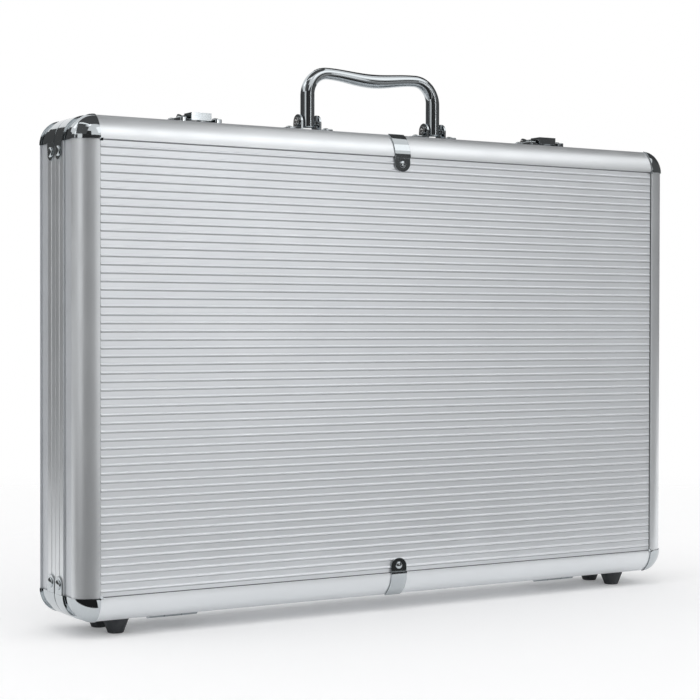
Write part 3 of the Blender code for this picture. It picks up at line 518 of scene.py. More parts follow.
class EffectGroups:
    """The shared effects, each a node group built once."""

    fine_share: float = 0.35
    smudge_range: Point = (0.42, 0.68)
    scratch_range: Point = (0.68, 0.74)
    scratch_stretch: tuple[float, float, float] = (0.05, 1.0, 1.0)
    scratch_turn: tuple[float, float, float] = (0.0, 0.4, 0.3)
    # How the painted shade under the ribs and along the lapped edge fades out.
    crease_range: Point = (0.5, 1.0)
    edge_range: Point = (0.7, 1.0)

    def __init__(self) -> None:
        """Build the groups."""
        self.grain = self._grain()
        self.wear = self._wear()
        self.creases = self._creases()

    @staticmethod
    def _new(name: str, inputs: dict[str, tuple[str, float]],
             outputs: dict[str, str]) -> tuple[bpy.types.NodeTree, NodeKit, bpy.types.Node, bpy.types.Node]:
        """Start a group with named sockets.

        Args:
            name: The group's name.
            inputs: For each input, its socket type and default value.
            outputs: For each output, its socket type.

        Returns:
            The tree, its kit, and the group's input and output nodes.
        """
        tree = bpy.data.node_groups.new(name, "ShaderNodeTree")
        for label, (kind, value) in inputs.items():
            socket = tree.interface.new_socket(name=label, in_out="INPUT", socket_type=kind)
            if kind == "NodeSocketFloat":
                socket.default_value = value
        for label, kind in outputs.items():
            tree.interface.new_socket(name=label, in_out="OUTPUT", socket_type=kind)
        kit = NodeKit(tree)
        return tree, kit, kit.add("NodeGroupInput"), kit.add("NodeGroupOutput")

    def _grain(self) -> bpy.types.NodeTree:
        """Build the fine grain of rolled or blasted metal: a height and a tone mask.

        Returns:
            The group.
        """
        tree, kit, source, sink = self._new(
            "metal_grain",
            {"Vector": ("NodeSocketVector", 0.0), "Fine Scale": ("NodeSocketFloat", 2600.0),
             "Broad Scale": ("NodeSocketFloat", 14.0)},
            {"Height": "NodeSocketFloat", "Tone": "NodeSocketFloat"})
        fine = kit.noise(source.outputs["Vector"], source.outputs["Fine Scale"], 2.0, 0.6)
        broad = kit.noise(source.outputs["Vector"], source.outputs["Broad Scale"], 3.0, 0.55)
        tree.links.new(fine, sink.inputs["Height"])
        tone = kit.math("ADD", kit.math("MULTIPLY", fine, self.fine_share),
                        kit.math("MULTIPLY", broad, 1 - self.fine_share))
        tree.links.new(tone, sink.inputs["Tone"])
        return tree

    def _wear(self) -> bpy.types.NodeTree:
        """Build handling marks: smudges that dull the gloss and a few fine scratches.

        Returns:
            The group.
        """
        tree, kit, source, sink = self._new(
            "handling_wear",
            {"Vector": ("NodeSocketVector", 0.0), "Smudge Scale": ("NodeSocketFloat", 30.0),
             "Scratch Scale": ("NodeSocketFloat", 160.0)},
            {"Smudge": "NodeSocketFloat", "Scratch": "NodeSocketFloat"})
        smudge = kit.noise(source.outputs["Vector"], source.outputs["Smudge Scale"], 5.0, 0.6)
        tree.links.new(kit.ramp(smudge, *self.smudge_range), sink.inputs["Smudge"])
        stretched = kit.add("ShaderNodeMapping", {"Vector": source.outputs["Vector"]},
                            {"Scale": self.scratch_stretch, "Rotation": self.scratch_turn})
        scratch = kit.noise(stretched.outputs["Vector"], source.outputs["Scratch Scale"], 2.0, 0.7)
        tree.links.new(kit.ramp(scratch, *self.scratch_range), sink.inputs["Scratch"])
        return tree

    def _creases(self) -> bpy.types.NodeTree:
        """Build the painted shade: dark lines just under a sheet's ribs and a dark band along the edge that
        its frame laps.

        Returns:
            The group.
        """
        tree, kit, source, sink = self._new(
            "sheet_creases",
            {"Vector": ("NodeSocketVector", 0.0), "Pitch": ("NodeSocketFloat", 0.005),
             "First Line": ("NodeSocketFloat", 0.0), "Line Width": ("NodeSocketFloat", 0.0004),
             "Half Width": ("NodeSocketFloat", 0.2), "Half Height": ("NodeSocketFloat", 0.1),
             "Middle Height": ("NodeSocketFloat", 0.0), "Edge Width": ("NodeSocketFloat", 0.0006)},
            {"Crease": "NodeSocketFloat", "Edge": "NodeSocketFloat"})
        given = source.outputs
        axes = kit.add("ShaderNodeSeparateXYZ", {0: given["Vector"]}).outputs
        # Painted shade: a dark line just under each rib, once per pitch.
        along = kit.math("SUBTRACT", axes["Z"], given["First Line"])
        off = kit.math("PINGPONG", along, kit.math("MULTIPLY", given["Pitch"], 0.5))
        share = kit.math("DIVIDE", off, given["Line Width"])
        # Painted shadow: a dark band along the edge that the trim's lip laps.
        side = kit.math("SUBTRACT", kit.math("ABSOLUTE", axes["X"]), given["Half Width"])
        level = kit.math("ABSOLUTE", kit.math("SUBTRACT", axes["Z"], given["Middle Height"]))
        near = kit.math("MAXIMUM", side, kit.math("SUBTRACT", level, given["Half Height"]))
        inward = kit.math("DIVIDE", kit.math("MULTIPLY", near, -1.0), given["Edge Width"])
        tree.links.new(kit.ramp(share, *self.crease_range, 1.0, 0.0), sink.inputs["Crease"])
        tree.links.new(kit.ramp(inward, *self.edge_range, 1.0, 0.0), sink.inputs["Edge"])
        return tree


@dataclass(frozen=True)
class Creases:
    """Where a ribbed sheet's painted shade lies, under its ribs and along its lapped edge, and how dark it
    is.
    """

    pitch: float
    first_line: float
    half_width: float
    half_height: float
    middle_height: float
    line_width: float = 0.00042
    edge_width: float = 0.00065
    crease_share: float = 0.42
    lip_shade_share: float = 0.86
    # The colour of the painted shade.
    colour: tuple[float, float, float] = (0.10, 0.105, 0.11)

    def paint_shade(self, kit: NodeKit, groups: EffectGroups, place: bpy.types.NodeSocket,
               colour: bpy.types.NodeSocket) -> bpy.types.NodeSocket:
        """Paint shade on a colour, under the ribs and along the lapped edge.
            groups: The shared effects.
            place: The coordinates on the sheet.
            colour: The sheet's own colour.

        Returns:
            The socket of the darkened colour.
        """
        values = {"Pitch": self.pitch, "First Line": self.first_line, "Line Width": self.line_width,
                  "Half Width": self.half_width, "Half Height": self.half_height,
                  "Middle Height": self.middle_height, "Edge Width": self.edge_width}
        node = kit.add("ShaderNodeGroup", {"Vector": place}, values, node_tree=groups.creases)
        lines = kit.math("MULTIPLY", node.outputs["Crease"], self.crease_share)
        edges = kit.math("MULTIPLY", node.outputs["Edge"], self.lip_shade_share)
        return kit.mix(kit.math("MAXIMUM", lines, edges), colour, self.colour)


class Surface:
    """What every finish starts from: a material, its shader and the shared effects on it."""

    def __init__(self, name: str, groups: EffectGroups, fine_scale: float,
                 stretch: tuple[float, float, float]) -> None:
        """Start a material with its grain and its handling marks.

        Args:
            name: The material's name.
            groups: The shared effects.
            fine_scale: The scale of the fine grain.
            stretch: How the grain is drawn out along each axis.
        """
        self.material, self.kit = NodeKit.material(name)
        self.shader = self.kit.tree.nodes["Principled BSDF"]
        self.place = self.kit.add("ShaderNodeTexCoord").outputs["Object"]
        run = self.kit.add("ShaderNodeMapping", {"Vector": self.place}, {"Scale": stretch})
        self.grain = self.kit.add("ShaderNodeGroup", {"Vector": run.outputs["Vector"]},
                                  {"Fine Scale": fine_scale}, node_tree=groups.grain)
        self.wear = self.kit.add("ShaderNodeGroup", {"Vector": self.place}, node_tree=groups.wear)

    def dress(self, colour: bpy.types.NodeSocket, roughness: float, smudged: float, bump: float,
              distance: float) -> bpy.types.Material:
        """Give the shader its colour, its gloss and its bump.

        Args:
            colour: The socket of the colour.
            roughness: The roughness where it is clean.
            smudged: The roughness where it has been handled.
            bump: The strength of the grain's bump.
            distance: The grain's height in metres.

        Returns:
            The finished material.
        """
        self.kit.feed_colour(self.shader.inputs["Base Color"], colour)
        gloss = self.kit.ramp(self.wear.outputs["Smudge"], 0.0, 1.0, roughness, smudged)
        self.kit.feed(self.shader.inputs["Roughness"], gloss)
        raised = self.kit.add("ShaderNodeBump", {"Height": self.grain.outputs["Height"]},
                              {"Strength": bump, "Distance": distance})
        self.kit.feed(self.shader.inputs["Normal"], raised.outputs["Normal"])
        return self.material


@dataclass(frozen=True)
class MetalFinish:
    """A metal surface: its colours, gloss, grain and handling marks.

    The tone colours are mixed by the grain's tone, and roughness by smudges.
    """

    name: str
    colour: tuple[float, float, float]
    shade: tuple[float, float, float]
    roughness: float
    smudged_roughness: float
    fine_scale: float
    bump: float
    bump_distance: float
    stretch: tuple[float, float, float] = (1.0, 1.0, 1.0)
    scratch_share: float = 0.0
    metallic: float = 1.0
    creases: Creases | None = None
    tone_range: Point = (0.35, 0.65)

    def build(self, groups: EffectGroups) -> bpy.types.Material:
        """Build the material.

        Args:
            groups: The shared effects.

        Returns:
            The new material.
        """
        surface = Surface(self.name, groups, self.fine_scale, self.stretch)
        surface.shader.inputs["Metallic"].default_value = self.metallic
        kit = surface.kit
        tone = kit.ramp(surface.grain.outputs["Tone"], *self.tone_range)
        colour = kit.mix(tone, self.shade, self.colour)
        if self.scratch_share:
            scratched = kit.math("MULTIPLY", surface.wear.outputs["Scratch"], self.scratch_share)
            colour = kit.mix(scratched, colour, self.shade)
        # Paints shade under the ribs and along the edge that the trim laps.
        if self.creases:
            colour = self.creases.paint_shade(kit, groups, surface.place, colour)
        return surface.dress(colour, self.roughness, self.smudged_roughness, self.bump, self.bump_distance)


@dataclass(frozen=True)
class SoftFinish:
    """A dull surface, such as rubber, flock or foam, with grain and dust."""

    name: str
    colour: tuple[float, float, float]
    dusty: tuple[float, float, float]
    roughness: float
    grain_scale: float
    bump: float
    bump_distance: float
    sheen: float = 0.0
    specular: float = 0.3
    dust_dulling: float = 0.1
    dust_range: Point = (0.1, 0.6)

    def build(self, groups: EffectGroups) -> bpy.types.Material:
        """Build the material.

        Args:
            groups: The shared effects.

        Returns:
            The new material.
        """
        surface = Surface(self.name, groups, self.grain_scale, (1.0, 1.0, 1.0))
        surface.shader.inputs["Sheen Weight"].default_value = self.sheen
        surface.shader.inputs["Specular IOR Level"].default_value = self.specular
        kit = surface.kit
        tone = kit.math("MULTIPLY", surface.grain.outputs["Tone"], surface.wear.outputs["Smudge"])
        colour = kit.mix(kit.ramp(tone, *self.dust_range), self.colour, self.dusty)
        dulled = min(self.roughness + self.dust_dulling, 1.0)
        return surface.dress(colour, self.roughness, dulled, self.bump, self.bump_distance)


class Palette:
    """The case's finishes, built once each."""

    def __init__(self) -> None:
        """Build every material."""
        groups = EffectGroups()
        first_rib = SIZES.centre_z - RibbedFace.pitch * (RibbedFace.rib_count() - 1) / 2
        # Painted shade under each rib and along the edge that the trim's lip laps.
        creases = Creases(RibbedFace.pitch, first_rib - RibbedFace.rib_width / 2, SIZES.half_w,
                          SIZES.half_h, SIZES.centre_z)
        self.trim = MetalFinish(
            "satin_trim", (0.80, 0.825, 0.845), (0.77, 0.795, 0.815), 0.31, 0.37, 1900.0, 0.05, 0.00004,
            metallic=0.75).build(groups)
        self.face = MetalFinish(
            "ribbed_sheet", (0.86, 0.885, 0.915), (0.83, 0.855, 0.885), 0.36, 0.42, 1500.0, 0.06, 0.00004,
            stretch=(0.25, 1.0, 1.0), metallic=0.70, creases=creases).build(groups)
        self.board = MetalFinish(
            "wall_sheet", (0.69, 0.715, 0.745), (0.65, 0.675, 0.705), 0.38, 0.45, 1500.0, 0.06, 0.00004,
            metallic=0.45).build(groups)
        self.chrome = MetalFinish(
            "bright_chrome", (0.545, 0.58, 0.60), (0.50, 0.535, 0.555), 0.05, 0.10, 900.0, 0.01, 0.00003,
            scratch_share=0.25).build(groups)
        self.rivet = MetalFinish(
            "rivet_steel", (0.68, 0.68, 0.67), (0.55, 0.55, 0.55), 0.16, 0.26, 1200.0, 0.05, 0.00003,
            scratch_share=0.3).build(groups)
        self.rubber = SoftFinish(
            "foot_rubber_dull", (0.035, 0.038, 0.042), (0.075, 0.078, 0.082), 0.62, 1800.0, 0.35, 0.00008
            ).build(groups)
        self.flock = SoftFinish(
            "black_flock_coat", (0.012, 0.012, 0.013), (0.021, 0.0205, 0.0205), 0.92, 3800.0, 0.6, 0.00025,
            sheen=0.35).build(groups)
        self.foam = SoftFinish(
            "lid_foam_cells", (0.018, 0.018, 0.02), (0.026, 0.026, 0.028), 0.95, 1400.0, 0.8, 0.0004,
            sheen=0.2).build(groups)


class RingSweep:
    """Runs a section of u and v points round a shell, as the profiles are bent round it."""

    def __init__(self, shell: Shell, corner_steps: int = 14) -> None:
        """Keep the shell and how finely its corners turn."""
        self.shell = shell
        self.corner_steps = corner_steps

    @staticmethod
    def slide(dx: float, dz: float) -> Move:
        """Return one straight step of the run."""
        return Matrix.Translation((dx, 0, dz)), 1

    def turn(self, sx: int, sz: int, angle: float) -> Move:
        """Return the steps of the run round a corner of the face.

        Args:
            sx: -1 for a left corner, +1 for a right one.
            sz: -1 for a bottom corner, +1 for a top one.
            angle: The whole turn, about +Y.

        Returns:
            The matrix of a step and the number of steps.
        """
        centre = SIZES.corner(sx, sz)
        spin = Matrix.Rotation(angle / self.corner_steps, 4, "Y")
        return Matrix.Translation(centre) @ spin @ Matrix.Translation(-centre), self.corner_steps

    def run(self, section: Sequence[Point], start_x: float, moves: Sequence[Move],
            closed: bool) -> bmesh.types.BMesh:
        """Run a section along its moves.

        Args:
            section: The section's u and v points.
            start_x: The X at which the run starts, along the top edge.
            moves: The run's steps.
            closed: Whether the run comes back to its start.

        Returns:
            The finished mesh.
        """
        bm = bmesh.new()
        top = SIZES.centre_z + SIZES.half_h
        ring = [bm.verts.new((start_x, SIZES.depth_y(self.shell, v), top + u)) for u, v in section]
        edges = [bm.edges.new((ring[i - 1], ring[i])) for i in range(len(ring))]
        if not closed:
            bm.faces.new(ring)
        for matrix, steps in moves:
            for _ in range(steps):
                grown = bmesh.ops.extrude_edge_only(bm, edges=edges)
                edges = grown_edges(grown)
                bmesh.ops.transform(bm, matrix=matrix, verts=grown_verts(grown))
        if not closed:
            bmesh.ops.contextual_create(bm, geom=edges)
        outward(bm)
        return bm


@dataclass
class ShellPart:
    """A sub-assembly of one shell."""

    shell: Shell
    palette: Palette

    def put(self, name: str, bm: bmesh.types.BMesh, material: bpy.types.Material, node: str,
            angle: float = 35.0) -> bpy.types.Object:
        """Put a finished mesh in the scene in the place of one of the shell's nodes.

        Args:
            name: The piece's name, without the shell's word.
            bm: The mesh.
            material: The piece's finish.
            node: The node's name, without the shell's word.
            angle: The sharpest angle, in degrees, that is shaded smooth.

        Returns:
            The piece.
        """
        label = self.shell.label
        return add_piece(f"{label}_{name}", bm, label, material, [f"{label}_{node}"], angle)


@dataclass
class RibbedFace(ShellPart):
    """The ribbed sheet of a shell's face, its edge tucked into the trim."""

    pitch: float = 0.0050
    rib_width: float = 0.00165
    rib_height: float = 0.00062
    rib_steps: int = 10
    rib_margin: float = 0.00008
    crest_share: float = 0.86
    foot_start_share: float = 0.8
    foot_rise_share: float = 0.37
    end_ramp: float = 0.0007
    edge_gap: float = 0.0003

    @classmethod
    def rib_count(cls) -> int:
        """Return how many ribs fit on the face."""
        return int((2 * SIZES.half_h - cls.pitch) / cls.pitch) + 1

    def rib_rise(self, offset: float) -> float:
        """Return a rib's height at an offset from its middle.

        Args:
            offset: The offset across the rib.

        Returns:
            The height, with a round crest and short hollow feet.
        """
        share = abs(offset) / (self.rib_width / 2)
        if share >= 1:
            return 0.0
        if share < self.foot_start_share:
            return self.rib_height * math.sqrt(max(0.0, 1 - (share / self.crest_share) ** 2))
        left = 1 - (share - self.foot_start_share) / (1 - self.foot_start_share)
        return self.rib_height * self.foot_rise_share * left ** 2

    def levels(self) -> list[tuple[float, float]]:
        """Work out the sheet's rows of points.

        Returns:
            Each row's height Z and its rise above the sheet.
        """
        ribs = self.rib_count()
        edge = SIZES.half_h + SIZES.panel_tuck
        rows = [(SIZES.centre_z - edge, 0.0)]
        for rib in range(ribs):
            middle = SIZES.centre_z + (rib - (ribs - 1) / 2) * self.pitch
            beside = self.rib_width / 2 + self.rib_margin
            rows.append((middle - beside, 0.0))
            for step in range(self.rib_steps + 1):
                offset = self.rib_width * (step / self.rib_steps - 0.5)
                rows.append((middle + offset, self.rib_rise(offset)))
            rows.append((middle + beside, 0.0))
        rows.append((SIZES.centre_z + edge, 0.0))
        return rows

    def build(self) -> bpy.types.Object:
        """Build the sheet, from a line of points run across the face.

        Returns:
            The piece.
        """
        edge = SIZES.half_w + SIZES.panel_tuck
        ribs_end = SIZES.half_w - self.edge_gap
        full = ribs_end - self.end_ramp
        columns = [(-edge, 0.0), (-ribs_end, 0.0), (-full, 1.0), (full, 1.0), (ribs_end, 0.0), (edge, 0.0)]
        front = SIZES.depth_y(self.shell, SIZES.panel_set_back)
        rows = self.levels()
        bm = bmesh.new()
        line = [bm.verts.new((-edge, front, z)) for z, _ in rows]
        edges = [bm.edges.new(pair) for pair in zip(line, line[1:])]
        last_x = -edge
        for x, share in columns[1:]:
            grown = bmesh.ops.extrude_edge_only(bm, edges=edges)
            verts = sorted(grown_verts(grown), key=lambda vert: vert.co.z)
            for vert, (_, rise) in zip(verts, rows):
                vert.co.x += x - last_x
                vert.co.y = front + self.shell.side * rise * share
            edges = grown_edges(grown)
            last_x = x
        rim = [one for one in bm.edges if one.is_boundary]
        grown = bmesh.ops.extrude_edge_only(bm, edges=rim)
        back = grown_verts(grown)
        bmesh.ops.translate(bm, verts=back, vec=(0, -self.shell.side * SIZES.panel_thickness, 0))
        bmesh.ops.contextual_create(bm, geom=[one for one in bm.edges if one.is_boundary])
        outward(bm)
        return self.put("ribbed_face", bm, self.palette.face, "panel", 50)


@dataclass
class EdgeTrims(ShellPart):
    """The two bent halves of a shell's curved edge trim."""

    wall: float = 0.0012
    lip: float = 0.0009
    lip_round: float = 0.0003
    lip_steps: int = 4
    arc_steps: int = 18

    def section(self) -> list[Point]:
        """Work out the trim's section: outer curve, web, inner curve and the face's slot.

        Returns:
            The section's u and v points.
        """
        outer = SIZES.arc(0.0, self.arc_steps)
        rounded = circle_arc((self.lip_round, self.lip_round), self.lip_round, math.pi, math.pi / 2,
                             self.lip_steps)
        curve = [point for point in outer if point[0] > 2 * self.lip_round]
        web = SIZES.trim_depth - self.wall
        inner_radius = SIZES.trim_radius - self.wall
        slot = SIZES.panel_tuck + SIZES.fit_gap
        wall_u = slot + self.wall
        inner = [(u, v) for u, v in SIZES.arc(-self.wall, self.arc_steps) if u > wall_u and v < web]
        meet = math.sqrt(inner_radius ** 2 - (SIZES.trim_radius - web) ** 2)
        wall_v = SIZES.trim_radius - math.sqrt(inner_radius ** 2 - wall_u ** 2)
        flange = SIZES.panel_set_back + SIZES.panel_thickness + SIZES.fit_gap
        points = rounded + curve
        points += [(SIZES.board_inner, SIZES.trim_depth), (SIZES.board_inner, web), (meet, web)]
        points += reversed(inner)
        points += [(wall_u, wall_v), (wall_u, flange + self.wall), (0, flange + self.wall)]
        points += [(0, flange), (slot, flange), (slot, self.lip), (0, self.lip)]
        return points

    def build(self) -> None:
        """Build both halves, each from its joint at the top round to the bottom."""
        sweep = RingSweep(self.shell)
        section = self.section()
        for hand in Hand:
            sign = hand.value
            start = SIZES.joint_top + sign * SIZES.seam_half_gap
            finish = SIZES.joint_bottom + sign * SIZES.seam_half_gap
            moves = [
                sweep.slide(sign * SIZES.half_w - start, 0),
                sweep.turn(sign, 1, sign * math.pi / 2),
                sweep.slide(0, -2 * SIZES.half_h),
                sweep.turn(sign, -1, sign * math.pi / 2),
                sweep.slide(finish - sign * SIZES.half_w, 0),
            ]
            bm = sweep.run(section, start, moves, closed=False)
            self.put(f"edge_trim_{hand.label}", bm, self.palette.trim, f"trim_{hand.label}", 40)


@dataclass
class ClosingProfile(ShellPart):
    """The profile round a shell's mouth, with its decorative groove and its tongue or groove."""

    head: float = 0.0037
    inner_wall: float = 0.00125
    inner_depth: float = 0.0088
    groove_width: float = 0.0012
    groove_floor: float = 0.0007
    groove_depth: float = 0.0005
    tongue_width: float = 0.0014
    tongue_height: float = 0.0020
    tongue_inset: float = 0.0026
    edge_round: float = 0.00035
    edge_steps: int = 3
    hidden_corners: tuple[int, ...] = (12, 13, 14, 15)

    def section(self) -> list[Point]:
        """Work out the profile's section, with its outer edges rounded.

        Returns:
            The section's u and v points.
        """
        reach, depth, gap = SIZES.reach, SIZES.shell_depth, SIZES.fit_gap
        middle = depth - SIZES.closer_width / 2
        board_outer = reach - SIZES.board_recess
        inner = SIZES.board_inner - gap - self.inner_wall
        key_outer = reach - self.tongue_inset
        key_inner = key_outer - self.tongue_width
        tip = depth + self.tongue_height
        if self.shell is Shell.LID:
            key_outer += gap
            key_inner -= gap
            tip = depth - self.tongue_height - gap
        corners = [
            (reach, SIZES.closer_start), (reach, middle - self.groove_width / 2),
            (reach - self.groove_depth, middle - self.groove_floor / 2),
            (reach - self.groove_depth, middle + self.groove_floor / 2),
            (reach, middle + self.groove_width / 2), (reach, depth),
            (key_outer, depth), (key_outer, tip), (key_inner, tip), (key_inner, depth), (inner, depth),
            (inner, depth - self.inner_depth), (SIZES.board_inner - gap, depth - self.inner_depth),
            (SIZES.board_inner - gap, depth - self.head), (board_outer + gap, depth - self.head),
            (board_outer + gap, SIZES.closer_start),
        ]
        return fillet(corners, self.edge_round, self.edge_steps, skip=self.hidden_corners)

    def build(self) -> bpy.types.Object:
        """Build the profile as one closed ring.

        Returns:
            The piece.
        """
        sweep = RingSweep(self.shell)
        width, height, quarter = 2 * SIZES.half_w, 2 * SIZES.half_h, math.pi / 2
        moves = [
            sweep.slide(-width, 0), sweep.turn(-1, 1, -quarter),
            sweep.slide(0, -height), sweep.turn(-1, -1, -quarter),
            sweep.slide(width, 0), sweep.turn(1, -1, -quarter),
            sweep.slide(0, height), sweep.turn(1, 1, -quarter),
        ]
        bm = sweep.run(self.section(), SIZES.half_w, moves, closed=True)
        return self.put("mouth_profile", bm, self.palette.trim, "closing_profile")


@dataclass(frozen=True)
class PlateEnds:
    """The raised ends of a stamped plate: where they start, how high they stand, and their rivets."""

    wall: float
    start: float
    rise: float
    rivet_radius: float = 0.0021
    rivet_height: float = 0.0009


class Hardware:
    """Small forms that several sub-assemblies share."""

    rim_share: float = 0.22
    dome_steps: int = 6
    upright_ratio: float = 2.2
    upright_steps: int = 5
    top_steps: int = 3

    @staticmethod
    def rivet(bm: bmesh.types.BMesh, place: Vector, out: Vector, radius: float, height: float,
              steps: int = 20) -> None:
        """Add a domed rivet head with a short straight rim.

        Args:
            bm: The mesh to add to.
            place: The middle of the head's underside.
            out: The way that the head faces.
            radius: The head's radius.
            height: The head's height.
            steps: How many sides the head has.
        """
        before = set(bm.verts)
        rim = height * Hardware.rim_share
        angles = [math.pi / 2 * step / Hardware.dome_steps for step in range(Hardware.dome_steps + 1)]
        dome = [Vector((radius * math.cos(a), 0, rim + (height - rim) * math.sin(a))) for a in angles]
        dome[-1].x = 0.0
        points = [Vector((0, 0, 0)), Vector((radius, 0, 0)), *dome]
        verts = [bm.verts.new(point) for point in points]
        edges = [bm.edges.new(pair) for pair in zip(verts, verts[1:])]
        bmesh.ops.spin(bm, geom=[*verts, *edges], cent=(0, 0, 0), axis=(0, 0, 1), angle=2 * math.pi,
                       steps=steps, use_merge=True)
        made = [vert for vert in bm.verts if vert not in before]
        turn = Vector((0, 0, 1)).rotation_difference(out).to_matrix().to_4x4()
        bmesh.ops.transform(bm, matrix=Matrix.Translation(place) @ turn, verts=made)

    @staticmethod
    def shoulder(bm: bmesh.types.BMesh, low: Vector, high: Vector, soften: float) -> None:
        """Add the raised end of a stamped plate, a block with rounded edges.

        Args:
            bm: The mesh to add to.
            low: The block's lowest corner.
            high: Its highest corner.
            soften: The width of the rounding.
        """
        scratch = bmesh.new()
        place = Matrix.Translation((low + high) / 2) @ Matrix.Diagonal((*(high - low), 1))
        bmesh.ops.create_cube(scratch, size=1, matrix=place)
        upright = [edge for edge in scratch.edges if abs(edge.verts[0].co.z - edge.verts[1].co.z) > soften]
        bmesh.ops.bevel(scratch, geom=upright, offset=Hardware.upright_ratio * soften,
                        segments=Hardware.upright_steps, profile=0.5, affect="EDGES", material=-1)
        top = [edge for edge in scratch.edges if min(vert.co.z for vert in edge.verts) > high.z - soften / 4]
        bmesh.ops.bevel(scratch, geom=top, offset=soften, segments=Hardware.top_steps, profile=0.5,
                        affect="EDGES", material=-1)
        join(bm, scratch)

    @staticmethod
    def raised_ends(node: str, ends: PlateEnds) -> Callable[[bmesh.types.BMesh], None]:
        """Return what adds the shoulders at both ends of a plate, each with a rivet on top.

        Args:
            node: The plate's node.
            ends: The sizes of its ends.

        Returns:
            A function that adds them to a mesh.
        """
        low, high = (Vector(corner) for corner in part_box(node))
        high.z = low.z + ends.wall
        edge = SIZES.fit_gap
        middle = (low.x + high.x) / 2

        def add(bm: bmesh.types.BMesh) -> None:
            """Add the shoulders and their rivets."""
            for sign in (-1, 1):
                outer = middle + sign * ((high.x - low.x) / 2 - edge)
                start = middle + sign * ends.start
                first = Vector((min(start, outer), low.y + edge, high.z - edge))
                last = Vector((max(start, outer), high.y - edge, high.z + ends.rise))
                Hardware.shoulder(bm, first, last, 2 * edge)
                seat = Vector(((start + outer) / 2, (low.y + high.y) / 2, high.z + ends.rise))
                Hardware.rivet(bm, seat, Vector((0, 0, 1)), ends.rivet_radius, ends.rivet_height)
        return add

    @staticmethod
    def domed_ends(node: str, radius: float, height: float) -> Callable[[bmesh.types.BMesh], None]:
        """Return what rounds the two ends of an axle that runs along X.

        Args:
            node: The axle's node.
            radius: The radius of its ends.
            height: How far the ends bulge.

        Returns:
            A function that adds them to a mesh.
        """
        low, high = (Vector(corner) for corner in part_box(node))
        middle = (low + high) / 2

        def add(bm: bmesh.types.BMesh) -> None:
            """Add the domes."""
            for sign, x in ((-1, low.x), (1, high.x)):
                Hardware.rivet(bm, Vector((x, middle.y, middle.z)), Vector((sign, 0, 0)), radius, height)
        return add

    @staticmethod
    def refined(name: str, node: str, body: str, material: bpy.types.Material, soften: float,
                rivets: Callable[[bmesh.types.BMesh], None] | None = None, angle: float = 30.0,
                segments: int = 2) -> bpy.types.Object:
        """Take a copy of a node's shape, soften its edges and add its rivets.

        Args:
            name: The new piece's name.
            node: The node that it copies and replaces.
            body: The body that it rides on.
            material: Its finish.
            soften: The width of the rounding at its edges.
            rivets: What adds small fasteners to the mesh, if it has any.
            angle: The least angle between faces, in degrees, that is rounded.
            segments: The steps of the rounding.

        Returns:
            The piece.
        """
        bm = bmesh.new()
        bm.from_mesh(bpy.data.objects[node].data)
        bmesh.ops.remove_doubles(bm, verts=bm.verts, dist=SIZES.fit_gap / 100)
        bmesh.ops.dissolve_limit(bm, angle_limit=math.radians(1), verts=bm.verts, edges=bm.edges)
        bevel_sharp(bm, soften, angle, segments)
        if rivets:
            rivets(bm)
        bmesh.ops.recalc_face_normals(bm, faces=bm.faces)
        return add_piece(name, bm, body, material, [node], angle=40)


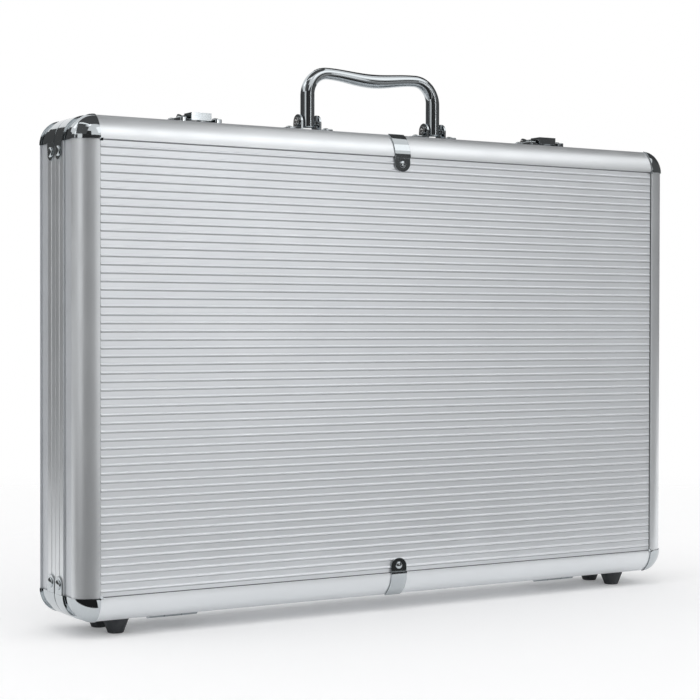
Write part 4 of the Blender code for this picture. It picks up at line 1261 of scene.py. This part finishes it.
@dataclass
class CornerCaps(ShellPart):
    """The chrome corner caps of a shell, each with its two rivet tabs."""

    wall: float = 0.0005
    arc_steps: int = 14
    turn_steps: int = 16
    tab_length: float = 0.0110
    tab_width: float = 0.0102
    tab_steps: int = 16
    edge_round: float = 0.00016
    edge_steps: int = 2
    rivet_radius: float = 0.0031
    rivet_height: float = 0.0013
    claw_width: float = 0.0016
    claw_reach: float = 0.0012
    claw_wall: float = 0.0004
    claw_dip: float = 0.0006

    def skin(self, lift: float) -> list[Point]:
        """Return the run of a cap's inner or outer skin over the shell.

        Args:
            lift: How far the skin lies off what it covers.

        Returns:
            The u and v points, from the face to the seam.
        """
        curve = SIZES.arc(lift, self.arc_steps)
        wall = SIZES.reach - SIZES.board_recess + lift
        step_down = SIZES.trim_depth + lift
        step_up = SIZES.closer_start - lift
        top = SIZES.reach + lift
        tail = SIZES.shell_depth - SIZES.fit_gap
        return curve[:-1] + [(curve[-1][0], step_down), (wall, step_down), (wall, step_up), (top, step_up),
                             (top, tail)]

    def tab(self, bm: bmesh.types.BMesh, place: Callable[[float, float, float], Vector]) -> None:
        """Add a rivet tab.

        Args:
            bm: The mesh to add to.
            place: Gives the point at a length along the tab, across it and out of it.
        """
        half = self.tab_width / 2
        end = circle_arc((self.tab_length - half, 0), half, -math.pi / 2, math.pi, self.tab_steps)
        outline = [(0.0, half), (0.0, -half)] + end
        low = SIZES.reach + SIZES.fit_gap
        start = [place(along, across, low) for along, across in outline]
        shift = place(0, 0, low + self.wall) - place(0, 0, low)
        scratch = bmesh.new()
        add_prism(scratch, start, shift)
        outward(scratch)
        crest = [edge for edge in scratch.edges if edge.calc_face_angle(0) > math.radians(60)]
        bmesh.ops.bevel(scratch, geom=crest, offset=self.edge_round, segments=self.edge_steps, profile=0.5,
                        affect="EDGES", material=-1)
        join(bm, scratch)
        seat = place(self.tab_length - half, 0, low + self.wall)
        Hardware.rivet(bm, seat, shift.normalized(), self.rivet_radius, self.rivet_height)

    def build_one(self, end: End, hand: Hand) -> bpy.types.Object:
        """Build one cap.

        Args:
            end: Top or bottom.
            hand: Left or right.

        Returns:
            The piece.
        """
        sx, sz = hand.value, end.value
        corner = SIZES.corner(sx, sz)
        section = fillet(self.skin(SIZES.fit_gap + self.wall) + self.skin(SIZES.fit_gap)[::-1],
                         self.edge_round, self.edge_steps)
        bm = bmesh.new()
        points = [(corner.x, SIZES.depth_y(self.shell, v), corner.z + sz * u) for u, v in section]
        face = bm.faces.new([bm.verts.new(point) for point in points])
        bmesh.ops.spin(bm, geom=[face, *face.edges, *face.verts], cent=corner, axis=(0, 1, 0),
                       angle=sx * sz * math.pi / 2, steps=self.turn_steps, use_merge=False)
        outward(bm)
        middle = SIZES.depth_y(self.shell, SIZES.shell_depth - SIZES.closer_width / 2)
        self.tab(bm, lambda along, across, out: Vector(
            (corner.x - sx * along, middle + across, corner.z + sz * out)))
        self.tab(bm, lambda along, across, out: Vector(
            (corner.x + sx * out, middle + across, corner.z - sz * along)))
        self.claw(bm, corner, sx, sz)
        bmesh.ops.recalc_face_normals(bm, faces=bm.faces)
        where = f"{end.label}_{hand.label}"
        return self.put(f"cap_{where}", bm, self.palette.chrome, f"corner_{where}")

    def claw(self, bm: bmesh.types.BMesh, corner: Vector, sx: int, sz: int) -> None:
        """Add the small claw that holds a cap to the corner of the face.

        Args:
            bm: The mesh to add to.
            corner: The face's corner.
            sx: -1 on the left, +1 on the right.
            sz: -1 at the bottom, +1 at the top.
        """
        scratch = bmesh.new()
        top = SIZES.depth_y(self.shell, -SIZES.fit_gap - self.wall)
        low = top - self.shell.side * self.claw_dip
        outline = [Vector((corner.x + sx * a, y, corner.z + sz * b)) for a, y, b in (
            (self.claw_width / 3, top, self.claw_width / 3), (-self.claw_width, top, self.claw_width / 3),
            (-self.claw_width, low, -self.claw_reach), (self.claw_width / 3, low, -self.claw_reach))]
        add_prism(scratch, outline, Vector((0, -self.shell.side * self.claw_wall, 0)))
        outward(scratch)
        bevel_sharp(scratch, self.claw_wall / 3, 60)
        join(bm, scratch)

    def build(self) -> None:
        """Build all four caps."""
        for end in End:
            for hand in Hand:
                self.build_one(end, hand)


@dataclass
class TrimClips(ShellPart):
    """The clips over the joints of a shell's edge trim."""

    width: float = 0.0122
    wall: float = 0.0005
    tongue: float = 0.0097
    arc_steps: int = 16
    round_steps: int = 8
    round_share: float = 0.47
    edge_round: float = 0.00015
    rivet_radius: float = 0.0024
    rivet_height: float = 0.0010
    rivet_inset: float = 0.0048
    tongue_v: float = 0.0004

    def skin(self, lift: float) -> list[Point]:
        """Return the inner or outer skin of a clip, from its tongue over the trim.

        Args:
            lift: How far the skin lies off what it covers.

        Returns:
            The u and v points.
        """
        step = -lift
        depth = self.tongue_v - lift + SIZES.fit_gap
        return [(-self.tongue, depth), (step, depth), (step, -lift)] + SIZES.arc(lift, self.arc_steps)[1:]

    def build(self) -> None:
        """Build the top and the bottom clip."""
        for end, joint in ((End.BOTTOM, SIZES.joint_bottom), (End.TOP, SIZES.joint_top)):
            sz = end.value
            section = self.skin(SIZES.fit_gap + self.wall) + self.skin(SIZES.fit_gap)[::-1]
            low_x = joint - self.width / 2
            edge_z = SIZES.centre_z + sz * SIZES.half_h
            outline = [Vector((low_x, SIZES.depth_y(self.shell, v), edge_z + sz * u)) for u, v in section]
            bm = bmesh.new()
            add_prism(bm, outline, Vector((self.width, 0, 0)))
            outward(bm)
            tip_z = edge_z - sz * self.tongue
            ends = [edge for edge in bm.edges
                    if all(abs(vert.co.z - tip_z) < SIZES.fit_gap / 2 for vert in edge.verts)
                    and abs(edge.verts[0].co.x - edge.verts[1].co.x) < SIZES.fit_gap / 2]
            bmesh.ops.bevel(bm, geom=ends, offset=self.width * self.round_share, segments=self.round_steps,
                            profile=0.5, affect="EDGES", material=-1, clamp_overlap=False)
            bevel_sharp(bm, self.edge_round, 55)
            out_y = SIZES.depth_y(self.shell, self.tongue_v - self.wall)
            seat = Vector((joint, out_y, tip_z + sz * self.rivet_inset))
            Hardware.rivet(bm, seat, Vector((0, self.shell.side, 0)), self.rivet_radius, self.rivet_height)
            bmesh.ops.recalc_face_normals(bm, faces=bm.faces)
            self.put(f"joint_clip_{end.label}", bm, self.palette.chrome, f"clip_{end.label}")


@dataclass
class RubberFeet(ShellPart):
    """The tapered feet of a shell, each with its screw in a recess underneath."""

    top_radius: float = 0.0085
    toe_radius: float = 0.0051
    toe_round: float = 0.0009
    toe_steps: int = 5
    recess_radius: float = 0.0026
    recess_depth: float = 0.0040
    screw_radius: float = 0.0022
    screw_height: float = 0.0009
    sides: int = 40

    def build(self) -> None:
        """Build both feet."""
        for hand in Hand:
            low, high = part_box(f"{self.shell.label}_foot_{hand.label}")
            centre = Vector(((low[0] + high[0]) / 2, (low[1] + high[1]) / 2, 0))
            seat = SIZES.bottom_z - SIZES.fit_gap
            rounded = circle_arc((self.toe_radius - self.toe_round, self.toe_round), self.toe_round,
                                 -math.pi / 2, math.pi / 2, self.toe_steps)
            chamfer = self.toe_round / 3
            profile = [(0.0, self.recess_depth), (self.recess_radius, self.recess_depth),
                       (self.recess_radius, chamfer), (self.recess_radius + chamfer, 0.0), *rounded,
                       (self.top_radius, seat), (0.0, seat)]
            bm = bmesh.new()
            verts = [bm.verts.new((centre.x + r, centre.y, z)) for r, z in profile]
            edges = [bm.edges.new(pair) for pair in zip(verts, verts[1:])]
            bmesh.ops.spin(bm, geom=[*verts, *edges], cent=centre, axis=(0, 0, 1), angle=2 * math.pi,
                           steps=self.sides, use_merge=True)
            outward(bm)
            self.put(f"rubber_foot_{hand.label}", bm, self.palette.rubber, f"foot_{hand.label}", 50)
            screw = bmesh.new()
            Hardware.rivet(screw, Vector((centre.x, centre.y, self.recess_depth)), Vector((0, 0, -1)),
                           self.screw_radius, self.screw_height)
            outward(screw)
            add_piece(f"{self.shell.label}_foot_screw_{hand.label}", screw, self.shell.label,
                      self.palette.rivet)


@dataclass
class WallBoards(ShellPart):
    """The sheet-covered boards between the trim and the closing profile."""

    def build(self) -> None:
        """Give the four boards their sheet finish."""
        for part in ("bottom", "top", "left", "right"):
            board = bpy.data.objects[f"{self.shell.label}_board_{part}"]
            board.data.materials.clear()
            board.data.materials.append(self.palette.board)
            LOG.info("finish on %s", board.name)


@dataclass
class Handle:
    """The chrome bail handle, its brackets and their pins."""

    palette: Palette
    span: float = 0.1000
    pivot_height: float = 0.0080
    rise: float = 0.0335
    sag: float = 0.0026
    bend: float = 0.0150
    foot: float = 0.0037
    foot_round: float = 0.0012
    foot_tip_share: float = 0.66
    leg_radius: float = 0.0048
    neck_radius: float = 0.0039
    grip_radius: float = 0.0047
    sides: int = 28
    bend_steps: int = 16
    grip_steps: int = 36
    dome_steps: int = 5
    bracket_soften: float = 0.0003
    plate_ends: PlateEnds = PlateEnds(wall=0.0014, start=0.0108, rise=0.0027)
    axle_end: float = 0.0017
    axle_dome: float = 0.0006

    def route(self) -> list[tuple[Vector, float]]:
        """Work out the handle's centre line.

        Returns:
            Its points, each with the rod's radius there.
        """
        half = self.span / 2
        pivot_z = SIZES.top_z + self.pivot_height
        top = pivot_z + self.rise
        centre = (half - self.bend, top - self.bend)
        right: list[tuple[Point, float]] = []
        foot = pivot_z - self.foot
        for step in range(self.dome_steps):
            angle = math.pi / 2 * step / self.dome_steps
            height = foot + self.foot_round * (1 - math.cos(angle))
            share = self.foot_tip_share + (1 - self.foot_tip_share) * math.sin(angle)
            right.append(((half, height), self.leg_radius * share))
        right.append(((half, foot + self.foot_round), self.leg_radius))
        for index, point in enumerate(circle_arc(centre, self.bend, 0, math.pi / 2, self.bend_steps)):
            share = index / self.bend_steps
            radius = self.leg_radius + (self.neck_radius - self.leg_radius) * share
            right.append((point, radius))
        grip: list[tuple[Point, float]] = []
        for step in range(1, self.grip_steps):
            share = step / self.grip_steps
            wave = math.sin(math.pi * share) ** 2
            radius = self.neck_radius + (self.grip_radius - self.neck_radius) * wave
            grip.append(((centre[0] * (1 - 2 * share), top - self.sag * wave), radius))
        left = [((-x, z), radius) for (x, z), radius in reversed(right)]
        return [(Vector((x, SIZES.closer_middle, z)), radius) for (x, z), radius in right + grip + left]

    def build_grip(self) -> bpy.types.Object:
        """Build the bent rod from rings along its centre line.

        Returns:
            The piece.
        """
        route = self.route()
        bm = bmesh.new()
        last: set[bmesh.types.BMEdge] = set()
        for index, (point, radius) in enumerate(route):
            ahead = route[min(index + 1, len(route) - 1)][0] - route[max(index - 1, 0)][0]
            angle = math.atan2(ahead.x, ahead.z)
            ring = bmesh.ops.create_circle(bm, segments=self.sides, radius=radius,
                                           matrix=Matrix.Translation(point) @ Matrix.Rotation(angle, 4, "Y"))
            edges = {edge for vert in ring["verts"] for edge in vert.link_edges}
            if last:
                bmesh.ops.bridge_loops(bm, edges=list(last | edges))
            else:
                bmesh.ops.contextual_create(bm, geom=list(edges))
            last = edges
        bmesh.ops.contextual_create(bm, geom=list(last))
        outward(bm)
        return add_piece("handle_rod", bm, "handle", self.palette.chrome, ["handle_grip"], angle=50)

    def build(self) -> None:
        """Build the rod, both brackets and both pins."""
        self.build_grip()
        for hand in Hand:
            bracket, pin = f"handle_bracket_{hand.label}", f"handle_pin_{hand.label}"
            Hardware.refined(f"handle_ear_plate_{hand.label}", bracket, "base", self.palette.chrome,
                             self.bracket_soften, Hardware.raised_ends(bracket, self.plate_ends))
            Hardware.refined(f"handle_axle_{hand.label}", pin, "base", self.palette.rivet,
                             self.bracket_soften, Hardware.domed_ends(pin, self.axle_end, self.axle_dome))


@dataclass
class DrawLatch:
    """One draw latch: its base, lever, hook, pins and the catch on the lid."""

    hand: Hand
    palette: Palette
    soften: float = 0.00022
    plate_ends: PlateEnds = PlateEnds(wall=0.0010, start=0.0098, rise=0.0030)
    lever_axle_end: float = 0.0014
    hook_axle_end: float = 0.0012
    axle_dome: float = 0.0005

    def build(self) -> None:
        """Build the latch's pieces."""
        stem = f"latch_{self.hand.label}"
        chrome = self.palette.chrome
        for part, shell in (("base", Shell.BASE), ("catch", Shell.LID)):
            node = f"{stem}_{part}"
            Hardware.refined(f"{node}_plate", node, shell.label, chrome, self.soften,
                             Hardware.raised_ends(node, self.plate_ends))
        Hardware.refined(f"{stem}_thumb_lever", f"{stem}_lever", f"{stem}_lever", chrome, self.soften)
        Hardware.refined(f"{stem}_claw", f"{stem}_hook", f"{stem}_hook", chrome, self.soften)
        for part, body, radius in (("lever", "base", self.lever_axle_end),
                                   ("hook", f"{stem}_lever", self.hook_axle_end)):
            node = f"{stem}_{part}_pin"
            Hardware.refined(f"{stem}_{part}_axle", node, body, self.palette.rivet, self.soften,
                             Hardware.domed_ends(node, radius, self.axle_dome))


@dataclass
class ButtHinge:
    """One hinge under the bottom edge: two leaves with their rivets, and the pin."""

    hand: Hand
    palette: Palette
    soften: float = 0.00018
    rivet_radius: float = 0.0020
    rivet_height: float = 0.0008
    rivet_out: float = 0.0115
    rivet_sides: int = 16
    leaf_wall: float = 0.0010
    knuckle_reach: float = 0.0028

    def leaf_rivets(self, node: str, side: int) -> Callable[[bmesh.types.BMesh], None]:
        """Return what adds the three rivets of a leaf.

        Args:
            node: The leaf's node.
            side: +1 on the base and -1 on the lid.

        Returns:
            A function that adds them to a mesh.
        """
        low, high = (Vector(corner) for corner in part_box(node))
        middle = (low.x + high.x) / 2
        outer = max(abs(low.y), abs(high.y))
        y = side * (outer + self.knuckle_reach) / 2
        level = high.z - self.leaf_wall

        def add(bm: bmesh.types.BMesh) -> None:
            """Add the rivets."""
            for share in (-1, 0, 1):
                seat = Vector((middle + share * self.rivet_out, y, level))
                Hardware.rivet(bm, seat, Vector((0, 0, -1)), self.rivet_radius, self.rivet_height,
                               self.rivet_sides)
        return add

    def build(self) -> None:
        """Build both leaves and the pin."""
        stem = f"hinge_{self.hand.label}"
        for shell in Shell:
            node = f"{stem}_{shell.label}_leaf"
            Hardware.refined(f"{stem}_{shell.label}_flap", node, shell.label, self.palette.chrome,
                             self.soften, self.leaf_rivets(node, shell.side))
        Hardware.refined(f"{stem}_axle", f"{stem}_pin", "base", self.palette.rivet, self.soften)


@dataclass
class ChipRacks:
    """The flocked chip racks and the accessory tray in the base."""

    palette: Palette
    soften: float = 0.0005

    def build(self) -> None:
        """Soften the rims of the racks and the tray, and flock them."""
        for hand in Hand:
            Hardware.refined(f"flocked_rack_{hand.label}", f"chip_rack_{hand.label}", "base",
                             self.palette.flock, self.soften, angle=50)
        Hardware.refined("flocked_tray", "accessory_tray", "base", self.palette.flock, self.soften, angle=50)


@dataclass
class LidPad:
    """The foam pad in the lid, crowned between its edges."""

    palette: Palette
    cells: tuple[int, int] = (60, 40)
    corner: float = 0.0078
    edge_drop: float = 0.0022
    edge_width: float = 0.0120
    edge_power: float = 1.5

    def build(self) -> bpy.types.Object:
        """Returns:
            The piece.
        """
        low, high = (Vector(corner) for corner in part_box("lid_pad"))
        middle = (low + high) / 2
        half = (high - low) / 2
        bm = bmesh.new()
        place = Matrix.Translation((middle.x, low.y, middle.z)) @ Matrix.Rotation(math.pi / 2, 4, "X")
        place @= Matrix.Diagonal((half.x, half.z, 1, 1))
        bmesh.ops.create_grid(bm, x_segments=self.cells[0], y_segments=self.cells[1], size=1, matrix=place)
        top = bmesh.ops.extrude_face_region(bm, geom=list(bm.faces), use_keep_orig=True)
        verts = grown_verts(top)
        for vert in verts:
            inset_x = half.x - abs(vert.co.x - middle.x)
            inset_z = half.z - abs(vert.co.z - middle.z)
            near = min(min(inset_x, inset_z) / self.edge_width, 1.0)
            vert.co.y = high.y - self.edge_drop * (1 - math.sin(near * math.pi / 2)) ** self.edge_power
        self.round_corners(bm, middle, half)
        outward(bm)
        piece = add_piece("lid_foam_pad", bm, "lid", self.palette.foam, ["lid_pad"], angle=60)
        return piece

    def round_corners(self, bm: bmesh.types.BMesh, middle: Vector, half: Vector) -> None:
        """Pull the pad's corner points in onto a round corner.

        Args:
            bm: The pad's mesh.
            middle: The pad's middle.
            half: Half its size.
        """
        for vert in bm.verts:
            dx = abs(vert.co.x - middle.x) - (half.x - self.corner)
            dz = abs(vert.co.z - middle.z) - (half.z - self.corner)
            if dx > 0 and dz > 0:
                pull = max(dx, dz) / math.hypot(dx, dz)
                vert.co.x = middle.x + math.copysign(half.x - self.corner + dx * pull, vert.co.x - middle.x)
                vert.co.z = middle.z + math.copysign(half.z - self.corner + dz * pull, vert.co.z - middle.z)


@dataclass
class Studio:
    """The camera at the photograph's place, the floor, the lamps and the cards."""

    camera_place: tuple[float, float, float] = (-0.6456, -1.0043, 0.1888)
    yaw: float = math.radians(31.91)
    pitch: float = math.radians(-0.86)
    roll: float = math.radians(0.11)
    focal_pixels: float = 1774.0
    image_pixels: float = 700.0
    sensor: float = 36.0
    floor_size: float = 6.0
    floor_near: float = 0.45
    floor_far: float = 1.10
    floor_glow: float = 0.12
    floor_roughness: float = 0.9
    floor_colour: tuple[float, float, float] = (0.93, 0.93, 0.935)
    near_clip: float = 0.01
    ambient: float = 0.8

    def build(self) -> None:
        """Build everything that lights and frames the case."""
        self.camera()
        self.world()
        self.floor()
        self.lamp("key_softbox", (0.95, -1.62, 1.75), (0, 0, 0.25), (1.6, 0.9), 0.66)
        self.lamp("top_softbox", (-0.6, -0.4, 2.1), (0, 0, 0.2), (1.4, 0.9), 1.3)
        self.lamp("left_softbox", (-2.3, -0.45, 0.75), (0, 0, 0.18), (0.25, 1.3), 0.55)
        self.lamp("front_softbox", (0.9, -3.1, 0.55), (0, 0, 0.3), (0.9, 0.9), 3.4)
        self.lamp("back_left_softbox", (-1.5, 0.55, 1.75), (-0.1, 0, 0.2), (0.7, 0.7), 1.0)
        self.card("front_card", (-0.72, -2.8, 0.62), (3.76, 1.24), (0, 1, 0), 0.05)
        self.card("front_right_card", (2.46, -2.8, 0.62), (1.68, 1.24), (0, 1, 0), 0.09)
        self.card("high_left_card", (-1.55, -1.05, 1.55), (1.5, 1.2), (0.62, 0.42, -0.65), 0.12)
        self.card("camera_card", (-1.5, -2.2, 1.0), (1.6, 2.0), (0.53, 0.85, 0), 0.04)
        self.card("right_card", (2.8, -0.3, 1.2), (4.4, 2.4), (-1, 0, 0), 0.11)
        self.card("back_card", (-1.7, 2.3, 0.6), (3.4, 2.0), (0.53, -0.85, 0), 0.08)
        self.card("left_card", (-2.9, 0.25, 0.6), (2.9, 1.3), (1, 0, 0), 0.08)
        self.card("high_right_card", (1.5, 1.0, 1.75), (2.8, 1.9), (-0.55, -0.4, -0.73), 0.07)
        self.card("ceiling_card", (-0.5, -0.2, 2.0), (2.4, 1.6), (0, 0, -1), 0.10)
        self.card("low_card", (-0.625, -1.02, 0.003), (1.95, 1.8), (0, 0, 1), 0.04)
        self.card("low_right_card", (1.375, -1.02, 0.003), (2.05, 1.8), (0, 0, 1), 0.26)
        self.card("near_low_card", (-0.42, -0.15, 0.003), (0.42, 0.20), (0, 0, 1), 0.02)

    def camera(self) -> None:
        """Place the camera by the fit to the photograph."""
        data = bpy.data.cameras.new("photo_camera")
        data.sensor_width = self.sensor
        data.lens = self.focal_pixels / self.image_pixels * self.sensor
        data.clip_start = self.near_clip
        camera = bpy.data.objects.new("photo_camera", data)
        bpy.context.scene.collection.objects.link(camera)
        flat = math.cos(self.pitch)
        forward = Vector((math.sin(self.yaw) * flat, math.cos(self.yaw) * flat, math.sin(self.pitch)))
        turn = forward.to_track_quat("-Z", "Y").to_matrix().to_4x4() @ Matrix.Rotation(self.roll, 4, "Z")
        camera.matrix_world = Matrix.Translation(self.camera_place) @ turn
        bpy.context.scene.camera = camera
        LOG.info("camera with a lens of %.1f mm", data.lens)

    def world(self) -> None:
        """Make a soft grey light that the camera, gloss and glass see as white."""
        world = bpy.data.worlds.new("studio_world")
        world.use_nodes = True
        bpy.context.scene.world = world
        kit = NodeKit(world.node_tree)
        background = world.node_tree.nodes["Background"]
        rays = kit.add("ShaderNodeLightPath")
        seen = kit.math("MAXIMUM", rays.outputs["Is Camera Ray"], rays.outputs["Is Glossy Ray"])
        seen = kit.math("MAXIMUM", seen, rays.outputs["Is Transmission Ray"])
        strength = kit.ramp(seen, 0.0, 1.0, self.ambient, 1.0)
        background.inputs["Color"].default_value = (1.0, 1.0, 1.0, 1.0)
        kit.feed(background.inputs["Strength"], strength)

    def floor(self) -> None:
        """Lay a pale floor that fades into the white background away from the case."""
        bm = bmesh.new()
        bmesh.ops.create_grid(bm, x_segments=8, y_segments=8, size=self.floor_size / 2)
        material, kit = NodeKit.material("pale_floor")
        floor = new_object("studio_floor", bm, material)
        tree = kit.tree
        shader = tree.nodes["Principled BSDF"]
        kit.feed_colour(shader.inputs["Base Color"], self.floor_colour)
        shader.inputs["Roughness"].default_value = self.floor_roughness
        shader.inputs["Specular IOR Level"].default_value = 0.0
        rays = kit.add("ShaderNodeLightPath")
        seen = kit.math("MAXIMUM", rays.outputs["Is Camera Ray"], rays.outputs["Is Glossy Ray"])
        shader.inputs["Emission Color"].default_value = (1.0, 1.0, 1.0, 1.0)
        kit.feed(shader.inputs["Emission Strength"], kit.math("MULTIPLY", seen, self.floor_glow))
        place = kit.add("ShaderNodeTexCoord").outputs["Object"]
        away = kit.add("ShaderNodeVectorMath", {0: place}, operation="LENGTH")
        fade = kit.ramp(away.outputs["Value"], self.floor_near, self.floor_far)
        under = kit.add("ShaderNodeNewGeometry").outputs["Backfacing"]
        fade = kit.math("MAXIMUM", fade, under)
        clear = kit.add("ShaderNodeBsdfTransparent")
        mixed = kit.add("ShaderNodeMixShader", {0: fade, 1: shader.outputs[0], 2: clear.outputs[0]})
        kit.feed(tree.nodes["Material Output"].inputs["Surface"], mixed.outputs[0])

    @staticmethod
    def lamp(name: str, place: Sequence[float], target: Sequence[float], size: Point,
             brightness: float) -> None:
        """Hang a rectangular softbox.

        Args:
            name: The lamp's name.
            place: Where it hangs.
            target: What it points at.
            size: Its width and height.
            brightness: How bright its face is, where 1 is white.
        """
        data = bpy.data.lights.new(name, "AREA")
        data.shape = "RECTANGLE"
        data.size, data.size_y = size
        data.energy = brightness * math.pi * size[0] * size[1]
        lamp = bpy.data.objects.new(name, data)
        bpy.context.scene.collection.objects.link(lamp)
        ray = Vector(target) - Vector(place)
        lamp.matrix_world = Matrix.Translation(place) @ ray.to_track_quat("-Z", "Y").to_matrix().to_4x4()

    @staticmethod
    def card(name: str, place: Sequence[float], size: Point, facing: Sequence[float], grey: float) -> None:
        """Stand a dark card that only reflections see.

        Args:
            name: The card's name.
            place: Its middle.
            size: Its width and height.
            facing: The way that it faces.
            grey: How light it is.
        """
        bm = bmesh.new()
        turn = Vector(facing).to_track_quat("Z", "Y").to_matrix().to_4x4()
        matrix = Matrix.Translation(place) @ turn @ Matrix.Diagonal((size[0], size[1], 1, 1))
        bmesh.ops.create_grid(bm, x_segments=1, y_segments=1, size=0.5, matrix=matrix)
        material, kit = NodeKit.material(name)
        card = new_object(name, bm, material)
        rays = kit.add("ShaderNodeLightPath")
        dark = kit.add("ShaderNodeEmission", values={"Color": (grey, grey, grey, 1.0)})
        clear = kit.add("ShaderNodeBsdfTransparent")
        mixed = kit.add("ShaderNodeMixShader", {0: rays.outputs["Is Glossy Ray"], 1: clear.outputs[0],
                                                2: dark.outputs[0]})
        kit.feed(kit.tree.nodes["Material Output"].inputs["Surface"], mixed.outputs[0])


def main() -> None:
    """Build every sub-assembly in order, then the studio."""
    bpy.context.scene.view_settings.view_transform = "Standard"
    palette = Palette()
    for shell in Shell:
        RibbedFace(shell, palette).build()
        EdgeTrims(shell, palette).build()
        ClosingProfile(shell, palette).build()
        WallBoards(shell, palette).build()
        CornerCaps(shell, palette).build()
        TrimClips(shell, palette).build()
        RubberFeet(shell, palette).build()
        LOG.info("%s shell done", shell.label)
    Handle(palette).build()
    for hand in Hand:
        DrawLatch(hand, palette).build()
        ButtHinge(hand, palette).build()
    ChipRacks(palette).build()
    LidPad(palette).build()
    Studio().build()


if __name__ == "__main__":
    main()
